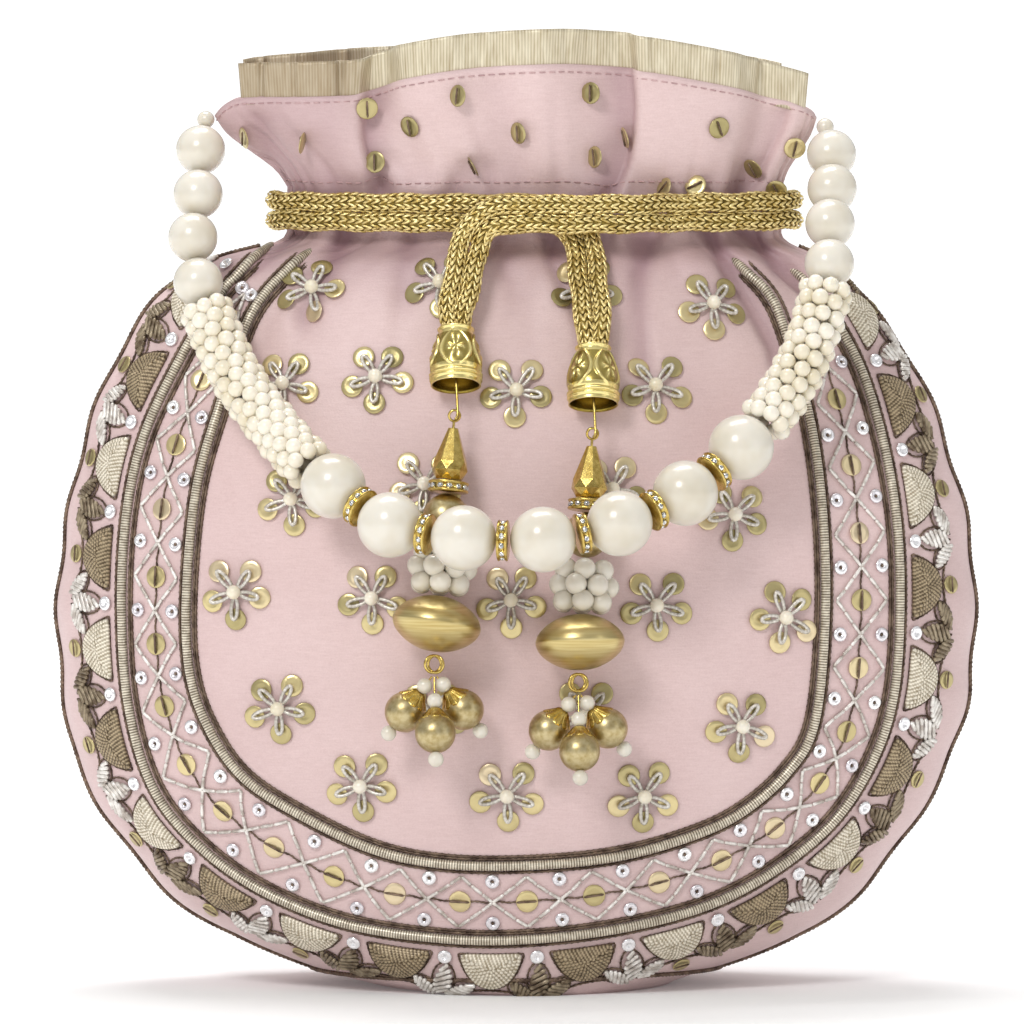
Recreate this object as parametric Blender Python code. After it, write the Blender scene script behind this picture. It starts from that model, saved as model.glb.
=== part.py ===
"""A drawstring potli reticule of satin, with a ribbon edge, cord tassels and a pearl handle.

Metres, +Z up. The bag stands on its flattened bottom, centred on the origin, and faces -Y.
Left and right are the viewer's, so left is -X.
"""

import math

import bmesh
import bpy
from mathutils import Matrix, Vector
from mathutils.bvhtree import BVHTree

# Sizes of the cloth bag
BAG_WIDTH = 0.2184  # seam to seam at the fullest level
BAG_DEPTH = 0.092  # front to back at the fullest level
SHOULDER_HEIGHT = 0.180  # from the table to the lower edge of the gathered neck
NECK_WIDTH = 0.1186
NECK_DEPTH = 0.042
NECK_SHIFT = 0.0044  # the gathers pull the neck this far to the right
NECK_BAND = 0.0108  # height of the straight gathered stretch that the cords lie on
FRILL_WIDTH = 0.1440
FRILL_DEPTH = 0.050
FRILL_HEIGHT = 0.0302  # from the neck to the highest point of the frill's edge
CLOTH_WALL = 0.0018
GATHER_DEPTH = 0.0052  # how far the deepest gather falls in
SEAM_SHARPNESS = 1.16  # 1 is an ellipse in plan, and more draws the side seams to an edge
COLUMNS = 40  # round the whole bag, half of them in each panel

# Sizes of the trimmings
RIBBON_HEIGHT = 0.0084
RIBBON_WALL = 0.0010
RIBBON_LEAN = 0.0010  # the ribbon's free edge stands this far outside its foot
PIPING_RADIUS = 0.0011
PIPING_SIDES = 5
PIPING_STEPS = 38
BAND_WIDTH = 0.0038
BAND_THICKNESS = 0.0011
BAND_STEPS = 28

# Sizes of the drawstring
CORD_DIAMETER = 0.0048
CORD_BEVEL_STEPS = 2
CORD_STEPS = 17

# Sizes of the pearl handle
LARGE_PEARL = 0.0154
MEDIUM_PEARL = 0.0118
END_PEARL = 0.0042
LARGE_PEARLS_A_SIDE = 3
MEDIUM_PEARLS_A_SIDE = 4
SPACER_WIDTH = 0.0026
SPACER_DIAMETER = 0.0098
ROPE_DIAMETER = 0.0128
ROPE_BUMP = 0.0011
ROPE_RINGS = 13
ROPE_SIDES = 10

# Sizes of a tassel, from the top down
BELL_HEIGHT = 0.0144
BELL_RADIUS = 0.0064
BELL_COLLAR_RADIUS = 0.0052
BELL_WALL = 0.0009
BELL_MOUTH = 0.0052  # depth of the hollow under the bell, below the cord ends that fill it
BELL_SEAT = 0.0011  # between the bell and the cloth behind it
EYE_RADIUS = 0.0014
WIRE_RADIUS = 0.0004
CONE_HEIGHT = 0.0123
CONE_RADIUS = 0.0042
CONE_TIP_RADIUS = 0.0011
HOOK_DROP = 0.0085  # from the bell's rim to the cone's tip
GOLD_BEAD = 0.0108
CLUSTER_HEIGHT = 0.0128
CLUSTER_RADIUS = 0.0084
CLUSTER_BUMP = 0.0010
SAUCER_RADIUS = 0.0105
SAUCER_HEIGHT = 0.0130
RING_RADIUS = 0.0022
RING_WIRE = 0.0005
CHAIN_LEAN = math.radians(9.5)  # the beads lean out over the belly of the bag
DANGLE_BALL = 0.0096
DANGLE_PEARL = 0.0035
DANGLE_CAP = 0.0014  # how far the filigree cap stands above the ball

# Clearances
GAP = 0.00035  # between strung pieces
SEAM_GAP = 0.0006  # between the two panels along their seam
SEAT = 0.0005  # between the cloth and what lies on it
TRIM_SEAT = 0.0012  # the same for the bands and the piping, which span its facets

LEFT = -1
RIGHT = 1

# Sections of the bag: height as a share of the shoulder's, reach to the left and right as shares of
# half the width, and depth as a share of half the depth.
BAG_SECTIONS = (
    # height, left, right, depth
    (0.000, 0.300, 0.340, 0.730),
    (0.020, 0.430, 0.430, 0.790),
    (0.061, 0.600, 0.600, 0.845),
    (0.120, 0.760, 0.750, 0.895),
    (0.200, 0.868, 0.850, 0.940),
    (0.300, 0.960, 0.945, 0.975),
    (0.400, 0.991, 0.993, 0.993),
    (0.500, 1.000, 1.000, 1.000),
    (0.600, 0.985, 0.989, 0.975),
    (0.700, 0.952, 0.949, 0.905),
    (0.800, 0.895, 0.886, 0.805),
    (0.864, 0.840, 0.822, 0.725),
    (0.914, 0.780, 0.755, 0.655),
    (0.960, 0.675, 0.690, 0.570),
)
SEAM_RING = 1  # the front panel's lower seam follows this section, and the base is below it

# Sections of the frill: rise as a share of its height, and how much of its flare it has there.
FRILL_SECTIONS = (
    # rise, flare
    (0.22, 0.16),
    (0.50, 0.52),
    (0.78, 0.86),
    (1.00, 1.00),
)

# Height of the frill's edge round the mouth, as a share of the frill's height.
EDGE_HEIGHTS = (
    # degrees, share
    (0, 0.54),
    (25, 0.70),
    (90, 0.84),
    (155, 0.73),
    (180, 0.56),
    (204, 0.71),
    (236, 0.74),
    (248, 0.87),
    (263, 0.96),
    (279, 0.99),
    (295, 0.93),
    (313, 0.82),
    (342, 0.64),
    (360, 0.54),
)

# Gathers under the neck and in the frill: where they lie round the bag, how deep, and how wide.
SHOULDER_GATHERS = (
    # degrees, share of the gather depth, half width in degrees
    (20, 0.7, 9),
    (55, 0.8, 10),
    (90, 0.7, 10),
    (122, 0.8, 9),
    (158, 0.7, 9),
    (226, 0.8, 8),
    (274, 0.6, 9),
    (298, 0.9, 7),
    (312, 0.9, 6),
    (329, 1.0, 7),
)
FRILL_GATHERS = (
    (24, 0.8, 9),
    (62, 0.9, 9),
    (98, 0.8, 9),
    (135, 0.9, 9),
    (163, 0.7, 8),
    (241, 1.0, 7),
    (266, 0.5, 8),
    (285, 1.1, 8),
    (328, 0.9, 8),
)
SHOULDER_GATHERS_START = 0.70  # share of the shoulder height where the gathers begin
NECK_GATHER_SHARE = 0.55

# The bands of the border, from the left shoulder down, along the bottom and up to the right one: how
# far across, as a share of half the bag's width, and how high, as a share of the shoulder height.
INNER_BAND_ROUTE = (
    (-0.475, 0.960),
    (-0.578, 0.890),
    (-0.640, 0.778),
    (-0.690, 0.670),
    (-0.712, 0.538),
    (-0.708, 0.435),
    (-0.670, 0.360),
    (-0.590, 0.290),
    (-0.455, 0.238),
    (-0.300, 0.196),
    (-0.149, 0.179),
    (0.033, 0.178),
    (0.213, 0.188),
    (0.369, 0.212),
    (0.484, 0.243),
    (0.585, 0.295),
    (0.645, 0.360),
    (0.668, 0.498),
    (0.662, 0.640),
    (0.632, 0.770),
    (0.570, 0.900),
    (0.500, 0.955),
)
OUTER_BAND_ROUTE = (
    (-0.590, 0.955),
    (-0.660, 0.905),
    (-0.736, 0.826),
    (-0.806, 0.734),
    (-0.843, 0.636),
    (-0.855, 0.511),
    (-0.840, 0.378),
    (-0.784, 0.268),
    (-0.680, 0.192),
    (-0.541, 0.136),
    (-0.360, 0.096),
    (-0.149, 0.079),
    (0.033, 0.079),
    (0.230, 0.093),
    (0.415, 0.121),
    (0.560, 0.165),
    (0.688, 0.228),
    (0.775, 0.310),
    (0.820, 0.400),
    (0.832, 0.524),
    (0.822, 0.636),
    (0.788, 0.745),
    (0.735, 0.840),
    (0.650, 0.925),
)

# The middle of each pair of drawstring strands, from the side where it leaves the casing, across the
# front of the neck, and down into its bell cap: across and back in metres, and height as a share of
# the shoulder height.
LEFT_PAIR_ROUTE = (
    (-0.0576, -0.0015, 1.0300),
    (-0.0556, -0.0056, 1.0300),
    (-0.0517, -0.0095, 1.0300),
    (-0.0464, -0.0131, 1.0300),
    (-0.0398, -0.0163, 1.0300),
    (-0.0319, -0.0190, 1.0300),
    (-0.0231, -0.0212, 1.0300),
    (-0.0135, -0.0228, 1.0300),
    (-0.0034, -0.0237, 1.0300),
    (0.0060, -0.0239, 1.0300),
    (0.0117, -0.0237, 1.0228),
    (0.0150, -0.0237, 1.0044),
    (0.0164, -0.0258, 0.9767),
    (0.0170, -0.0291, 0.9511),
    (0.0178, -0.0340, 0.9122),
    (0.0182, -0.0374, 0.8856),
    (0.0182, -0.0390, 0.8617),
)
RIGHT_PAIR_ROUTE = (
    (0.0664, -0.0015, 1.0300),
    (0.0642, -0.0058, 1.0300),
    (0.0602, -0.0098, 1.0300),
    (0.0545, -0.0135, 1.0300),
    (0.0474, -0.0168, 1.0300),
    (0.0390, -0.0196, 1.0300),
    (0.0296, -0.0265, 1.0300),
    (0.0194, -0.0290, 1.0300),
    (0.0087, -0.0297, 1.0300),
    (-0.0010, -0.0296, 1.0300),
    (-0.0067, -0.0293, 1.0228),
    (-0.0100, -0.0292, 1.0044),
    (-0.0114, -0.0312, 0.9767),
    (-0.0122, -0.0331, 0.9567),
    (-0.0134, -0.0352, 0.9261),
    (-0.0142, -0.0364, 0.9094),
    (-0.0142, -0.0379, 0.8856),
)

# The handle's route from where it is sewn on at the left to the right: across and back in metres,
# and height as a share of the shoulder height.
HANDLE_ROUTE = (
    (-0.0744, -0.0010, 1.1489),
    (-0.0754, -0.0060, 1.1028),
    (-0.0758, -0.0125, 1.0456),
    (-0.0768, -0.0190, 0.9922),
    (-0.0752, -0.0250, 0.9344),
    (-0.0713, -0.0300, 0.8756),
    (-0.0655, -0.0350, 0.8122),
    (-0.0576, -0.0415, 0.7556),
    (-0.0494, -0.0495, 0.7083),
    (-0.0420, -0.0560, 0.6767),
    (-0.0287, -0.0655, 0.6311),
    (-0.0118, -0.0718, 0.6178),
    (0.0063, -0.0735, 0.6167),
    (0.0238, -0.0700, 0.6356),
    (0.0391, -0.0620, 0.6711),
    (0.0520, -0.0540, 0.7256),
    (0.0606, -0.0480, 0.7778),
    (0.0680, -0.0432, 0.8444),
    (0.0722, -0.0384, 0.9111),
    (0.0742, -0.0320, 0.9689),
    (0.0745, -0.0238, 1.0200),
    (0.0752, -0.0145, 1.0644),
    (0.0752, -0.0052, 1.1083),
    (0.0750, -0.0010, 1.1378),
)

# Where the two tassels hang: how far across the bell's top and the saucer bead are, in metres, and
# how high the bell's top is, as a share of the shoulder height.
TASSEL_PLACES = {
    # side: across at the bell, height of the bell's top, across at the saucer
    LEFT: (-0.0142, 0.882, -0.0187),
    RIGHT: (0.0182, 0.858, 0.0150),
}

# Where the gold ball of each dangle hangs, in metres from the foot of the ring.
DANGLE_PLACES = (
    (0.0003, -0.0052, -0.0136),
    (0.0069, 0.0018, -0.0087),
    (-0.0069, 0.0018, -0.0092),
)

# Colours, roughness and metallic value of each finish
FINISHES = {
    "pink_satin": ((0.62, 0.42, 0.43), 0.45, 0.0),
    "gold_tissue": ((0.58, 0.50, 0.33), 0.45, 0.5),
    "zari_thread": ((0.30, 0.26, 0.19), 0.45, 0.6),
    "gold_lurex": ((0.55, 0.43, 0.12), 0.35, 0.7),
    "cream_pearl": ((0.85, 0.80, 0.68), 0.18, 0.0),
    "bright_gold": ((0.80, 0.60, 0.20), 0.22, 1.0),
    "matt_gold": ((0.55, 0.42, 0.17), 0.35, 1.0),
}


def clear_scene():
    """Removes whatever the scene holds."""
    for old in list(bpy.data.objects):
        bpy.data.objects.remove(old)


def finish(name):
    """The material of that name, made once."""
    found = bpy.data.materials.get(name)
    if found:
        return found
    colour, roughness, metallic = FINISHES[name]
    made = bpy.data.materials.new(name)
    made.use_nodes = True
    shader = made.node_tree.nodes["Principled BSDF"]
    shader.inputs["Base Color"].default_value = (*colour, 1.0)
    shader.inputs["Roughness"].default_value = roughness
    shader.inputs["Metallic"].default_value = metallic
    return made


def add_object(name, mesh, material):
    """Links a mesh to the scene as one named sub-part."""
    mesh.materials.append(finish(material))
    made = bpy.data.objects.new(name, mesh)
    bpy.context.scene.collection.objects.link(made)
    return made


def add_solid(name, vertices, faces, material, smooth=True):
    """A closed body from its points and faces, with its faces turned outwards."""
    bm = bmesh.new()
    corners = [bm.verts.new(v) for v in vertices]
    for face in faces:
        bm.faces.new([corners[i] for i in face])
    bmesh.ops.recalc_face_normals(bm, faces=bm.faces)
    mesh = bpy.data.meshes.new(name)
    bm.to_mesh(mesh)
    bm.free()
    if smooth:
        mesh.shade_smooth()
        mesh.set_sharp_from_angle(angle=math.radians(50))
    return add_object(name, mesh, material)


def eased(table, at):
    """The second column of a table at a place in its first, turning smoothly at each row."""
    for (x0, y0), (x1, y1) in zip(table, table[1:]):
        if at <= x1:
            share = (at - x0) / (x1 - x0)
            return y0 + (y1 - y0) * share * share * (3 - 2 * share)
    return table[-1][1]


def curve_through(points, steps):
    """A smooth curve through points, with that many samples from each point to the next."""
    points = [Vector(p) for p in points]
    ends = [2 * points[0] - points[1], *points, 2 * points[-1] - points[-2]]
    line = []
    for before, a, b, after in zip(ends, ends[1:], ends[2:], ends[3:]):
        for k in range(steps):
            t = k / steps
            line.append(
                0.5
                * (
                    2 * a
                    + (b - before) * t
                    + (2 * before - 5 * a + 4 * b - after) * t * t
                    + (3 * a - before - 3 * b + after) * t**3
                )
            )
    line.append(points[-1])
    return line


def evenly(line, count):
    """That many points, evenly spaced along a line."""
    lengths = [0.0]
    for a, b in zip(line, line[1:]):
        lengths.append(lengths[-1] + (b - a).length)
    made, at = [], 0
    for k in range(count):
        target = lengths[-1] * k / (count - 1)
        while at < len(line) - 2 and lengths[at + 1] < target:
            at += 1
        span = lengths[at + 1] - lengths[at]
        made.append(line[at].lerp(line[at + 1], (target - lengths[at]) / span))
    return made


class Section:
    """One level of the bag in plan: its middle, half width, half depth, and height."""

    def __init__(self, middle, half_width, half_depth, height):
        self.middle = middle
        self.half_width = half_width
        self.half_depth = half_depth
        self.height = height

    def mixed(self, other, share):
        """The section that lies that share of the way to another."""
        return Section(
            *(
                a + (b - a) * share
                for a, b in (
                    (self.middle, other.middle),
                    (self.half_width, other.half_width),
                    (self.half_depth, other.half_depth),
                    (self.height, other.height),
                )
            )
        )

    def outline(self, angle):
        """The ungathered outline at an angle, counted from the right over the back."""
        c, s = math.cos(angle), math.sin(angle)
        depth = math.copysign(abs(s) ** SEAM_SHARPNESS, s)
        return Vector(
            (
                self.middle + self.half_width * c,
                self.half_depth * depth,
                self.height,
            )
        )

    def outward(self, angle):
        """The level direction that points out of the bag at an angle."""
        return Vector(
            (
                math.cos(angle) / self.half_width,
                math.sin(angle) / self.half_depth,
                0,
            )
        ).normalized()


def bag_sections():
    """The levels from the base up to the top of the neck."""
    made = []
    for height, left, right, depth in BAG_SECTIONS:
        made.append(
            Section(
                BAG_WIDTH / 4 * (right - left),
                BAG_WIDTH / 4 * (right + left),
                BAG_DEPTH / 2 * depth,
                SHOULDER_HEIGHT * height,
            )
        )
    for height in (SHOULDER_HEIGHT, SHOULDER_HEIGHT + NECK_BAND):
        made.append(Section(NECK_SHIFT, NECK_WIDTH / 2, NECK_DEPTH / 2, height))
    return made


def gather(table, angle):
    """How far the gathers of a table fall in at an angle."""
    total = 0.0
    for degrees, depth, width in table:
        away = (math.degrees(angle) - degrees + 180) % 360 - 180
        total += depth * math.exp(-((away / width) ** 2))
    return GATHER_DEPTH * total


def bag_rings():
    """The outer surface of the cloth, ring by ring from the base to the frill's edge."""
    angles = [math.tau * k / COLUMNS for k in range(COLUMNS)]
    rings = []
    sections = bag_sections()
    start = SHOULDER_GATHERS_START * SHOULDER_HEIGHT
    for section in sections:
        rise = max(0.0, (section.height - start) / (SHOULDER_HEIGHT - start))
        share = min(rise**1.5, 1.0)
        if section.height >= SHOULDER_HEIGHT:
            share = NECK_GATHER_SHARE
        rings.append(
            [
                section.outline(a)
                - section.outward(a) * gather(SHOULDER_GATHERS, a) * share
                for a in angles
            ]
        )
    neck = sections[-1]
    mouth = Section(0.0, FRILL_WIDTH / 2, FRILL_DEPTH / 2, neck.height)
    for rise, flare in FRILL_SECTIONS:
        ring = []
        for a in angles:
            level = neck.mixed(mouth, flare)
            share = NECK_GATHER_SHARE + (1 - NECK_GATHER_SHARE) * flare
            point = level.outline(a) - level.outward(a) * gather(FRILL_GATHERS, a) * share
            height = FRILL_HEIGHT * eased(EDGE_HEIGHTS, math.degrees(a)) * rise
            ring.append(point + Vector((0, 0, height)))
        rings.append(ring)
    return rings


def ring_normals(rings):
    """The outward direction at each point of the rings."""
    normals = []
    for i, ring in enumerate(rings):
        below = rings[max(i - 1, 0)]
        above = rings[min(i + 1, len(rings) - 1)]
        row = []
        for k in range(COLUMNS):
            along = ring[(k + 1) % COLUMNS] - ring[k - 1]
            row.append(along.cross(above[k] - below[k]).normalized())
        normals.append(row)
    return normals


def inner_rings(rings):
    """The lining side of the cloth, a wall's thickness inside the outer rings."""
    made = [
        [p - n * CLOTH_WALL for p, n in zip(ring, row)]
        for ring, row in zip(rings, ring_normals(rings))
    ]
    for point in made[0]:
        point.z = CLOTH_WALL
    return made


def bridged(rings, count, closed_ends=True):
    """Points and faces of a body made from rings of the same count, capped at both ends."""
    vertices = [p for ring in rings for p in ring]
    faces = []
    for i in range(len(rings) - 1):
        for k in range(count):
            a, b = i * count + k, i * count + (k + 1) % count
            faces.append((a, b, b + count, a + count))
    if closed_ends:
        faces.append(tuple(range(count)))
        last = (len(rings) - 1) * count
        faces.append(tuple(last + k for k in range(count)))
    return vertices, faces


def add_panel(name, outer, inner, cells, base):
    """A closed cloth wall over cells of the rings, each named by its ring and column."""
    vertices = [p for ring in outer for p in ring] + [p for ring in inner for p in ring]
    behind = len(outer) * COLUMNS
    faces, edges = [], {}
    for i, k in cells:
        a, b = i * COLUMNS + k, i * COLUMNS + (k + 1) % COLUMNS
        quad = (a, b, b + COLUMNS, a + COLUMNS)
        faces.append(quad)
        faces.append(tuple(behind + corner for corner in reversed(quad)))
        for edge in zip(quad, quad[1:] + quad[:1]):
            edges[frozenset(edge)] = edges.get(frozenset(edge), []) + [edge]
    base_ring = set(range(COLUMNS)) if base else set()
    for uses in edges.values():
        a, b = uses[0]
        if len(uses) == 1 and not {a, b} <= base_ring:
            faces.append((b, a, behind + a, behind + b))
    if base:
        faces.append(tuple(range(COLUMNS)))
        faces.append(tuple(behind + k for k in range(COLUMNS)))
    used = sorted({corner for face in faces for corner in face})
    place = {corner: i for i, corner in enumerate(used)}
    faces = [tuple(place[corner] for corner in face) for face in faces]
    return add_solid(name, [vertices[corner] for corner in used], faces, "pink_satin")


def add_bag(rings):
    """The hollow bag: a back panel that runs under as the base, and a front panel seamed to it."""
    lining = inner_rings(rings)
    half, last = COLUMNS // 2, len(rings) - 1
    back = [(i, k) for i in range(SEAM_RING) for k in range(COLUMNS)]
    back += [(i, k) for i in range(SEAM_RING, last) for k in range(half)]
    add_panel("back_panel", rings, lining, back, base=True)

    fronts = []
    for side in (rings, lining):
        side = [[point.copy() for point in ring] for ring in side]
        for ring in side[SEAM_RING:]:
            ring[0].y -= SEAM_GAP
            ring[half].y -= SEAM_GAP
        for k in (*range(half, COLUMNS), 0):
            side[SEAM_RING][k].z += SEAM_GAP
        fronts.append(side)
    front = [(i, k) for i in range(SEAM_RING, last) for k in range(half, COLUMNS)]
    add_panel("front_panel", *fronts, front, base=False)


def surface_tree(rings):
    """The outer surface of the cloth, to seat pieces on."""
    vertices, faces = bridged(rings, COLUMNS, closed_ends=False)
    return BVHTree.FromPolygons(vertices, faces)


def half_plan(sections, height):
    """The ungathered section at any height."""
    for low, high in zip(sections, sections[1:]):
        if height <= high.height:
            share = (height - low.height) / (high.height - low.height)
            return low.mixed(high, max(share, 0.0))
    return sections[-1]


def front_of(sections, x, height):
    """How far forward the ungathered cloth stands at a place in the front view."""
    level = half_plan(sections, height)
    across = min(abs(x - level.middle) / level.half_width, 0.999)
    return -level.half_depth * (1 - across * across) ** (SEAM_SHARPNESS / 2)


def pushed_out(point, tree, distance):
    """The point moved so that it stands that far off the cloth."""
    for _ in range(4):
        place, normal, _, _ = tree.find_nearest(point)
        away = point - place
        if away.dot(normal) < 0 or away.length < 1e-6:
            away = normal
        point = place + away.normalized() * distance
    return point


def add_ribbon(name, rings, first_degrees, last_degrees):
    """A stretch of pleated ribbon that stands on the frill's edge."""
    outer, inner = rings[-1], inner_rings(rings)[-1]
    rows = []
    for k in range(COLUMNS):
        angle = 360 * k / COLUMNS
        if not first_degrees <= angle <= last_degrees:
            continue
        foot = (outer[k] + inner[k]) / 2
        foot.z = max(outer[k].z, inner[k].z) + GAP
        across = (outer[k] - inner[k]).normalized() * RIBBON_WALL / 2
        across.z = 0
        top = foot + Vector((0, 0, RIBBON_HEIGHT))
        top += across.normalized() * RIBBON_LEAN
        rows.append([foot - across, foot + across, top + across, top - across])
    vertices, faces = bridged(rows, 4)
    return add_solid(name, vertices, faces, "gold_tissue")


def tube_frames(line):
    """At each point of a line, two directions square to it, carried along without twist."""
    frames = []
    side = None
    for i, point in enumerate(line):
        along = (line[min(i + 1, len(line) - 1)] - line[max(i - 1, 0)]).normalized()
        if side is None:
            side = along.orthogonal().normalized()
        side = (side - along * side.dot(along)).normalized()
        frames.append((point, side, along.cross(side)))
    return frames


def add_tube(name, line, radius, sides, material):
    """A round tube along a line, with flat ends."""
    rings = []
    for point, side, up in tube_frames(line):
        rings.append(
            [
                point
                + side * radius * math.cos(math.tau * k / sides)
                + up * radius * math.sin(math.tau * k / sides)
                for k in range(sides)
            ]
        )
    vertices, faces = bridged(rings, sides)
    return add_solid(name, vertices, faces, material)


def add_piping(rings, tree):
    """The piping in the seam that edges the front panel, from shoulder to shoulder."""
    half = COLUMNS // 2
    sides = range(SEAM_RING, len(BAG_SECTIONS))
    left = [rings[i][half] for i in reversed(sides)]
    right = [rings[i][0] for i in sides]
    bottom = rings[SEAM_RING][half + 2 : COLUMNS - 1 : 2]
    line = evenly(curve_through(left + bottom + right, 6), PIPING_STEPS + 1)
    line = [pushed_out(p, tree, PIPING_RADIUS + TRIM_SEAT) for p in line]
    return add_tube("seam_piping", line, PIPING_RADIUS, PIPING_SIDES, "zari_thread")


def add_band(name, route, tree):
    """A raised band of metal thread that follows the border over the front panel."""
    whole = [(x * BAG_WIDTH / 2, 0.0, z * SHOULDER_HEIGHT) for x, z in route]
    line = evenly(curve_through(whole, 8), BAND_STEPS + 1)
    rows = []
    for i, point in enumerate(line):
        along = line[min(i + 1, BAND_STEPS)] - line[max(i - 1, 0)]
        across = Vector((-along.z, 0, along.x)).normalized()
        corners = []
        for share in (-0.5, 0.5):
            start = point + across * BAND_WIDTH * share - Vector((0, BAG_DEPTH, 0))
            place, normal, _, _ = tree.ray_cast(start, Vector((0, 1, 0)))
            if place is None:
                place, normal, _, _ = tree.find_nearest(point)
            corners.append((place, normal))
        (a, na), (b, nb) = corners
        lift, top = TRIM_SEAT, TRIM_SEAT + BAND_THICKNESS
        rows.append([a + na * lift, b + nb * lift, b + nb * top, a + na * top])
    vertices, faces = bridged(rows, 4)
    return add_solid(name, vertices, faces, "zari_thread")


def bell_axis(sections, side):
    """The middle of a bell cap's top, and the way down its axis."""
    x, top_share, _ = TASSEL_PLACES[side]
    top_z = top_share * SHOULDER_HEIGHT
    low_z = top_z - BELL_HEIGHT
    top_y = front_of(sections, x, top_z) - BELL_COLLAR_RADIUS - BELL_SEAT
    low_y = front_of(sections, x, low_z) - BELL_RADIUS - BELL_SEAT
    lean = Vector((0, low_y - top_y, low_z - top_z)).normalized()
    return Vector((x, top_y, top_z)), lean


def in_metres(route):
    """The points of a route whose heights are shares of the shoulder height."""
    return [Vector((x, y, share * SHOULDER_HEIGHT)) for x, y, share in route]


def strand_line(route, row):
    """One strand of a pair: beside the pair's middle, square to its run and flat on the cloth."""
    reach = (CORD_DIAMETER + 2 * GAP) / 2
    middle = curve_through(in_metres(route), 4)
    line = []
    for i, point in enumerate(middle):
        along = middle[min(i + 1, len(middle) - 1)] - middle[max(i - 1, 0)]
        outward = Vector((point.x / NECK_WIDTH**2, point.y / NECK_DEPTH**2, 0))
        side = along.cross(outward).normalized()
        line.append(point + side * reach * row)
    return line


def add_strands():
    """The four strands of the two drawstrings."""
    for side_name, route in (("left", LEFT_PAIR_ROUTE), ("right", RIGHT_PAIR_ROUTE)):
        for row, row_name in ((1, "first"), (-1, "second")):
            curve = bpy.data.curves.new(f"cord_{side_name}_{row_name}", "CURVE")
            curve.dimensions = "3D"
            curve.bevel_depth = CORD_DIAMETER / 2
            curve.bevel_resolution = CORD_BEVEL_STEPS
            curve.use_fill_caps = True
            spline = curve.splines.new("POLY")
            points = evenly(strand_line(route, row), CORD_STEPS)
            spline.points.add(len(points) - 1)
            for knot, point in zip(spline.points, points):
                knot.co = (*point, 1.0)
            made = bpy.data.objects.new(curve.name, curve)
            curve.materials.append(finish("gold_lurex"))
            bpy.context.scene.collection.objects.link(made)


def turned(name, profile, sides, place, material, waves=0, wave=0.0, smooth=True):
    """A turned body: profile rows are radius and distance down its axis, from the top.

    With waves, the radius swells between that many ridges, staggered from row to row.
    """
    rings = []
    for i, (radius, down) in enumerate(profile):
        ring = []
        for k in range(sides):
            a = math.tau * k / sides
            swell = wave * math.cos(waves * a + math.pi * i) if waves else 0.0
            reach = radius + swell
            ring.append(Vector((reach * math.cos(a), reach * math.sin(a), -down)))
        rings.append(ring)
    vertices, faces = bridged(rings, sides)
    vertices = [place @ v for v in vertices]
    return add_solid(name, vertices, faces, material, smooth)


def ball_profile(diameter, rings, top=0.0, hole_share=0.22):
    """Rows of a ball with small flats where its hole is drilled."""
    radius = diameter / 2
    start = math.asin(hole_share)
    rows = []
    for k in range(rings):
        a = start + (math.pi - 2 * start) * k / (rings - 1)
        rows.append((radius * math.sin(a), top + radius - radius * math.cos(a)))
    return rows


def along_axis(top, direction):
    """A place whose -Z runs from the top point in that direction."""
    turn = Vector((0, 0, -1)).rotation_difference(direction).to_matrix().to_4x4()
    return Matrix.Translation(top) @ turn


def spacer_profile(width, diameter):
    """Rows of a rhinestone spacer: two rims with a groove for the stones."""
    radius, groove = diameter / 2, diameter / 2 * 0.88
    return [
        (radius * 0.90, 0.0),
        (radius, width * 0.14),
        (groove, width * 0.30),
        (groove, width * 0.70),
        (radius, width * 0.86),
        (radius * 0.90, width),
    ]


def bell_profile():
    """Rows of the hollow bell cap, down its outside and up to the ceiling inside it."""
    outside = [
        (BELL_COLLAR_RADIUS, 0.0),
        (BELL_COLLAR_RADIUS, 0.10 * BELL_HEIGHT),
        (0.86 * BELL_RADIUS, 0.22 * BELL_HEIGHT),
        (0.96 * BELL_RADIUS, 0.50 * BELL_HEIGHT),
        (0.94 * BELL_RADIUS, 0.82 * BELL_HEIGHT),
        (BELL_RADIUS, 0.92 * BELL_HEIGHT),
        (BELL_RADIUS, BELL_HEIGHT),
    ]
    inside = [
        (BELL_RADIUS - BELL_WALL, BELL_HEIGHT),
        (0.94 * BELL_RADIUS - BELL_WALL, BELL_HEIGHT - 0.4 * BELL_MOUTH),
        (0.92 * BELL_RADIUS - BELL_WALL, BELL_HEIGHT - BELL_MOUTH),
    ]
    return outside + inside


def add_eye_pin(name, top, tip):
    """A straight wire with an eye bent at its top, from the bell's ceiling to the cone."""
    down = (tip - top).normalized()
    centre = top + down * (EYE_RADIUS + WIRE_RADIUS)
    side = Vector((1, 0, 0))
    line = []
    turns = 9
    for k in range(turns + 1):
        a = math.radians(300) * (1 - k / turns)
        line.append(centre + EYE_RADIUS * (math.cos(a) * down + math.sin(a) * side))
    line.append(tip)
    return add_tube(name, line, WIRE_RADIUS, 5, "bright_gold")


def add_ring(name, centre, radius, wire, sides, steps):
    """A closed wire ring that stands across the view."""
    rings = []
    for k in range(steps):
        a = math.tau * k / steps
        out = Vector((math.cos(a), 0, math.sin(a)))
        ring = []
        for j in range(sides):
            b = math.tau * j / sides
            ring.append(
                centre
                + out * (radius + wire * math.cos(b))
                + Vector((0, wire * math.sin(b), 0))
            )
        rings.append(ring)
    vertices = [p for ring in rings for p in ring]
    faces = []
    for i in range(steps):
        for j in range(sides):
            a, b = i * sides, (i + 1) % steps * sides
            faces.append((a + j, a + (j + 1) % sides, b + (j + 1) % sides, b + j))
    return add_solid(name, vertices, faces, "bright_gold")


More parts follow.
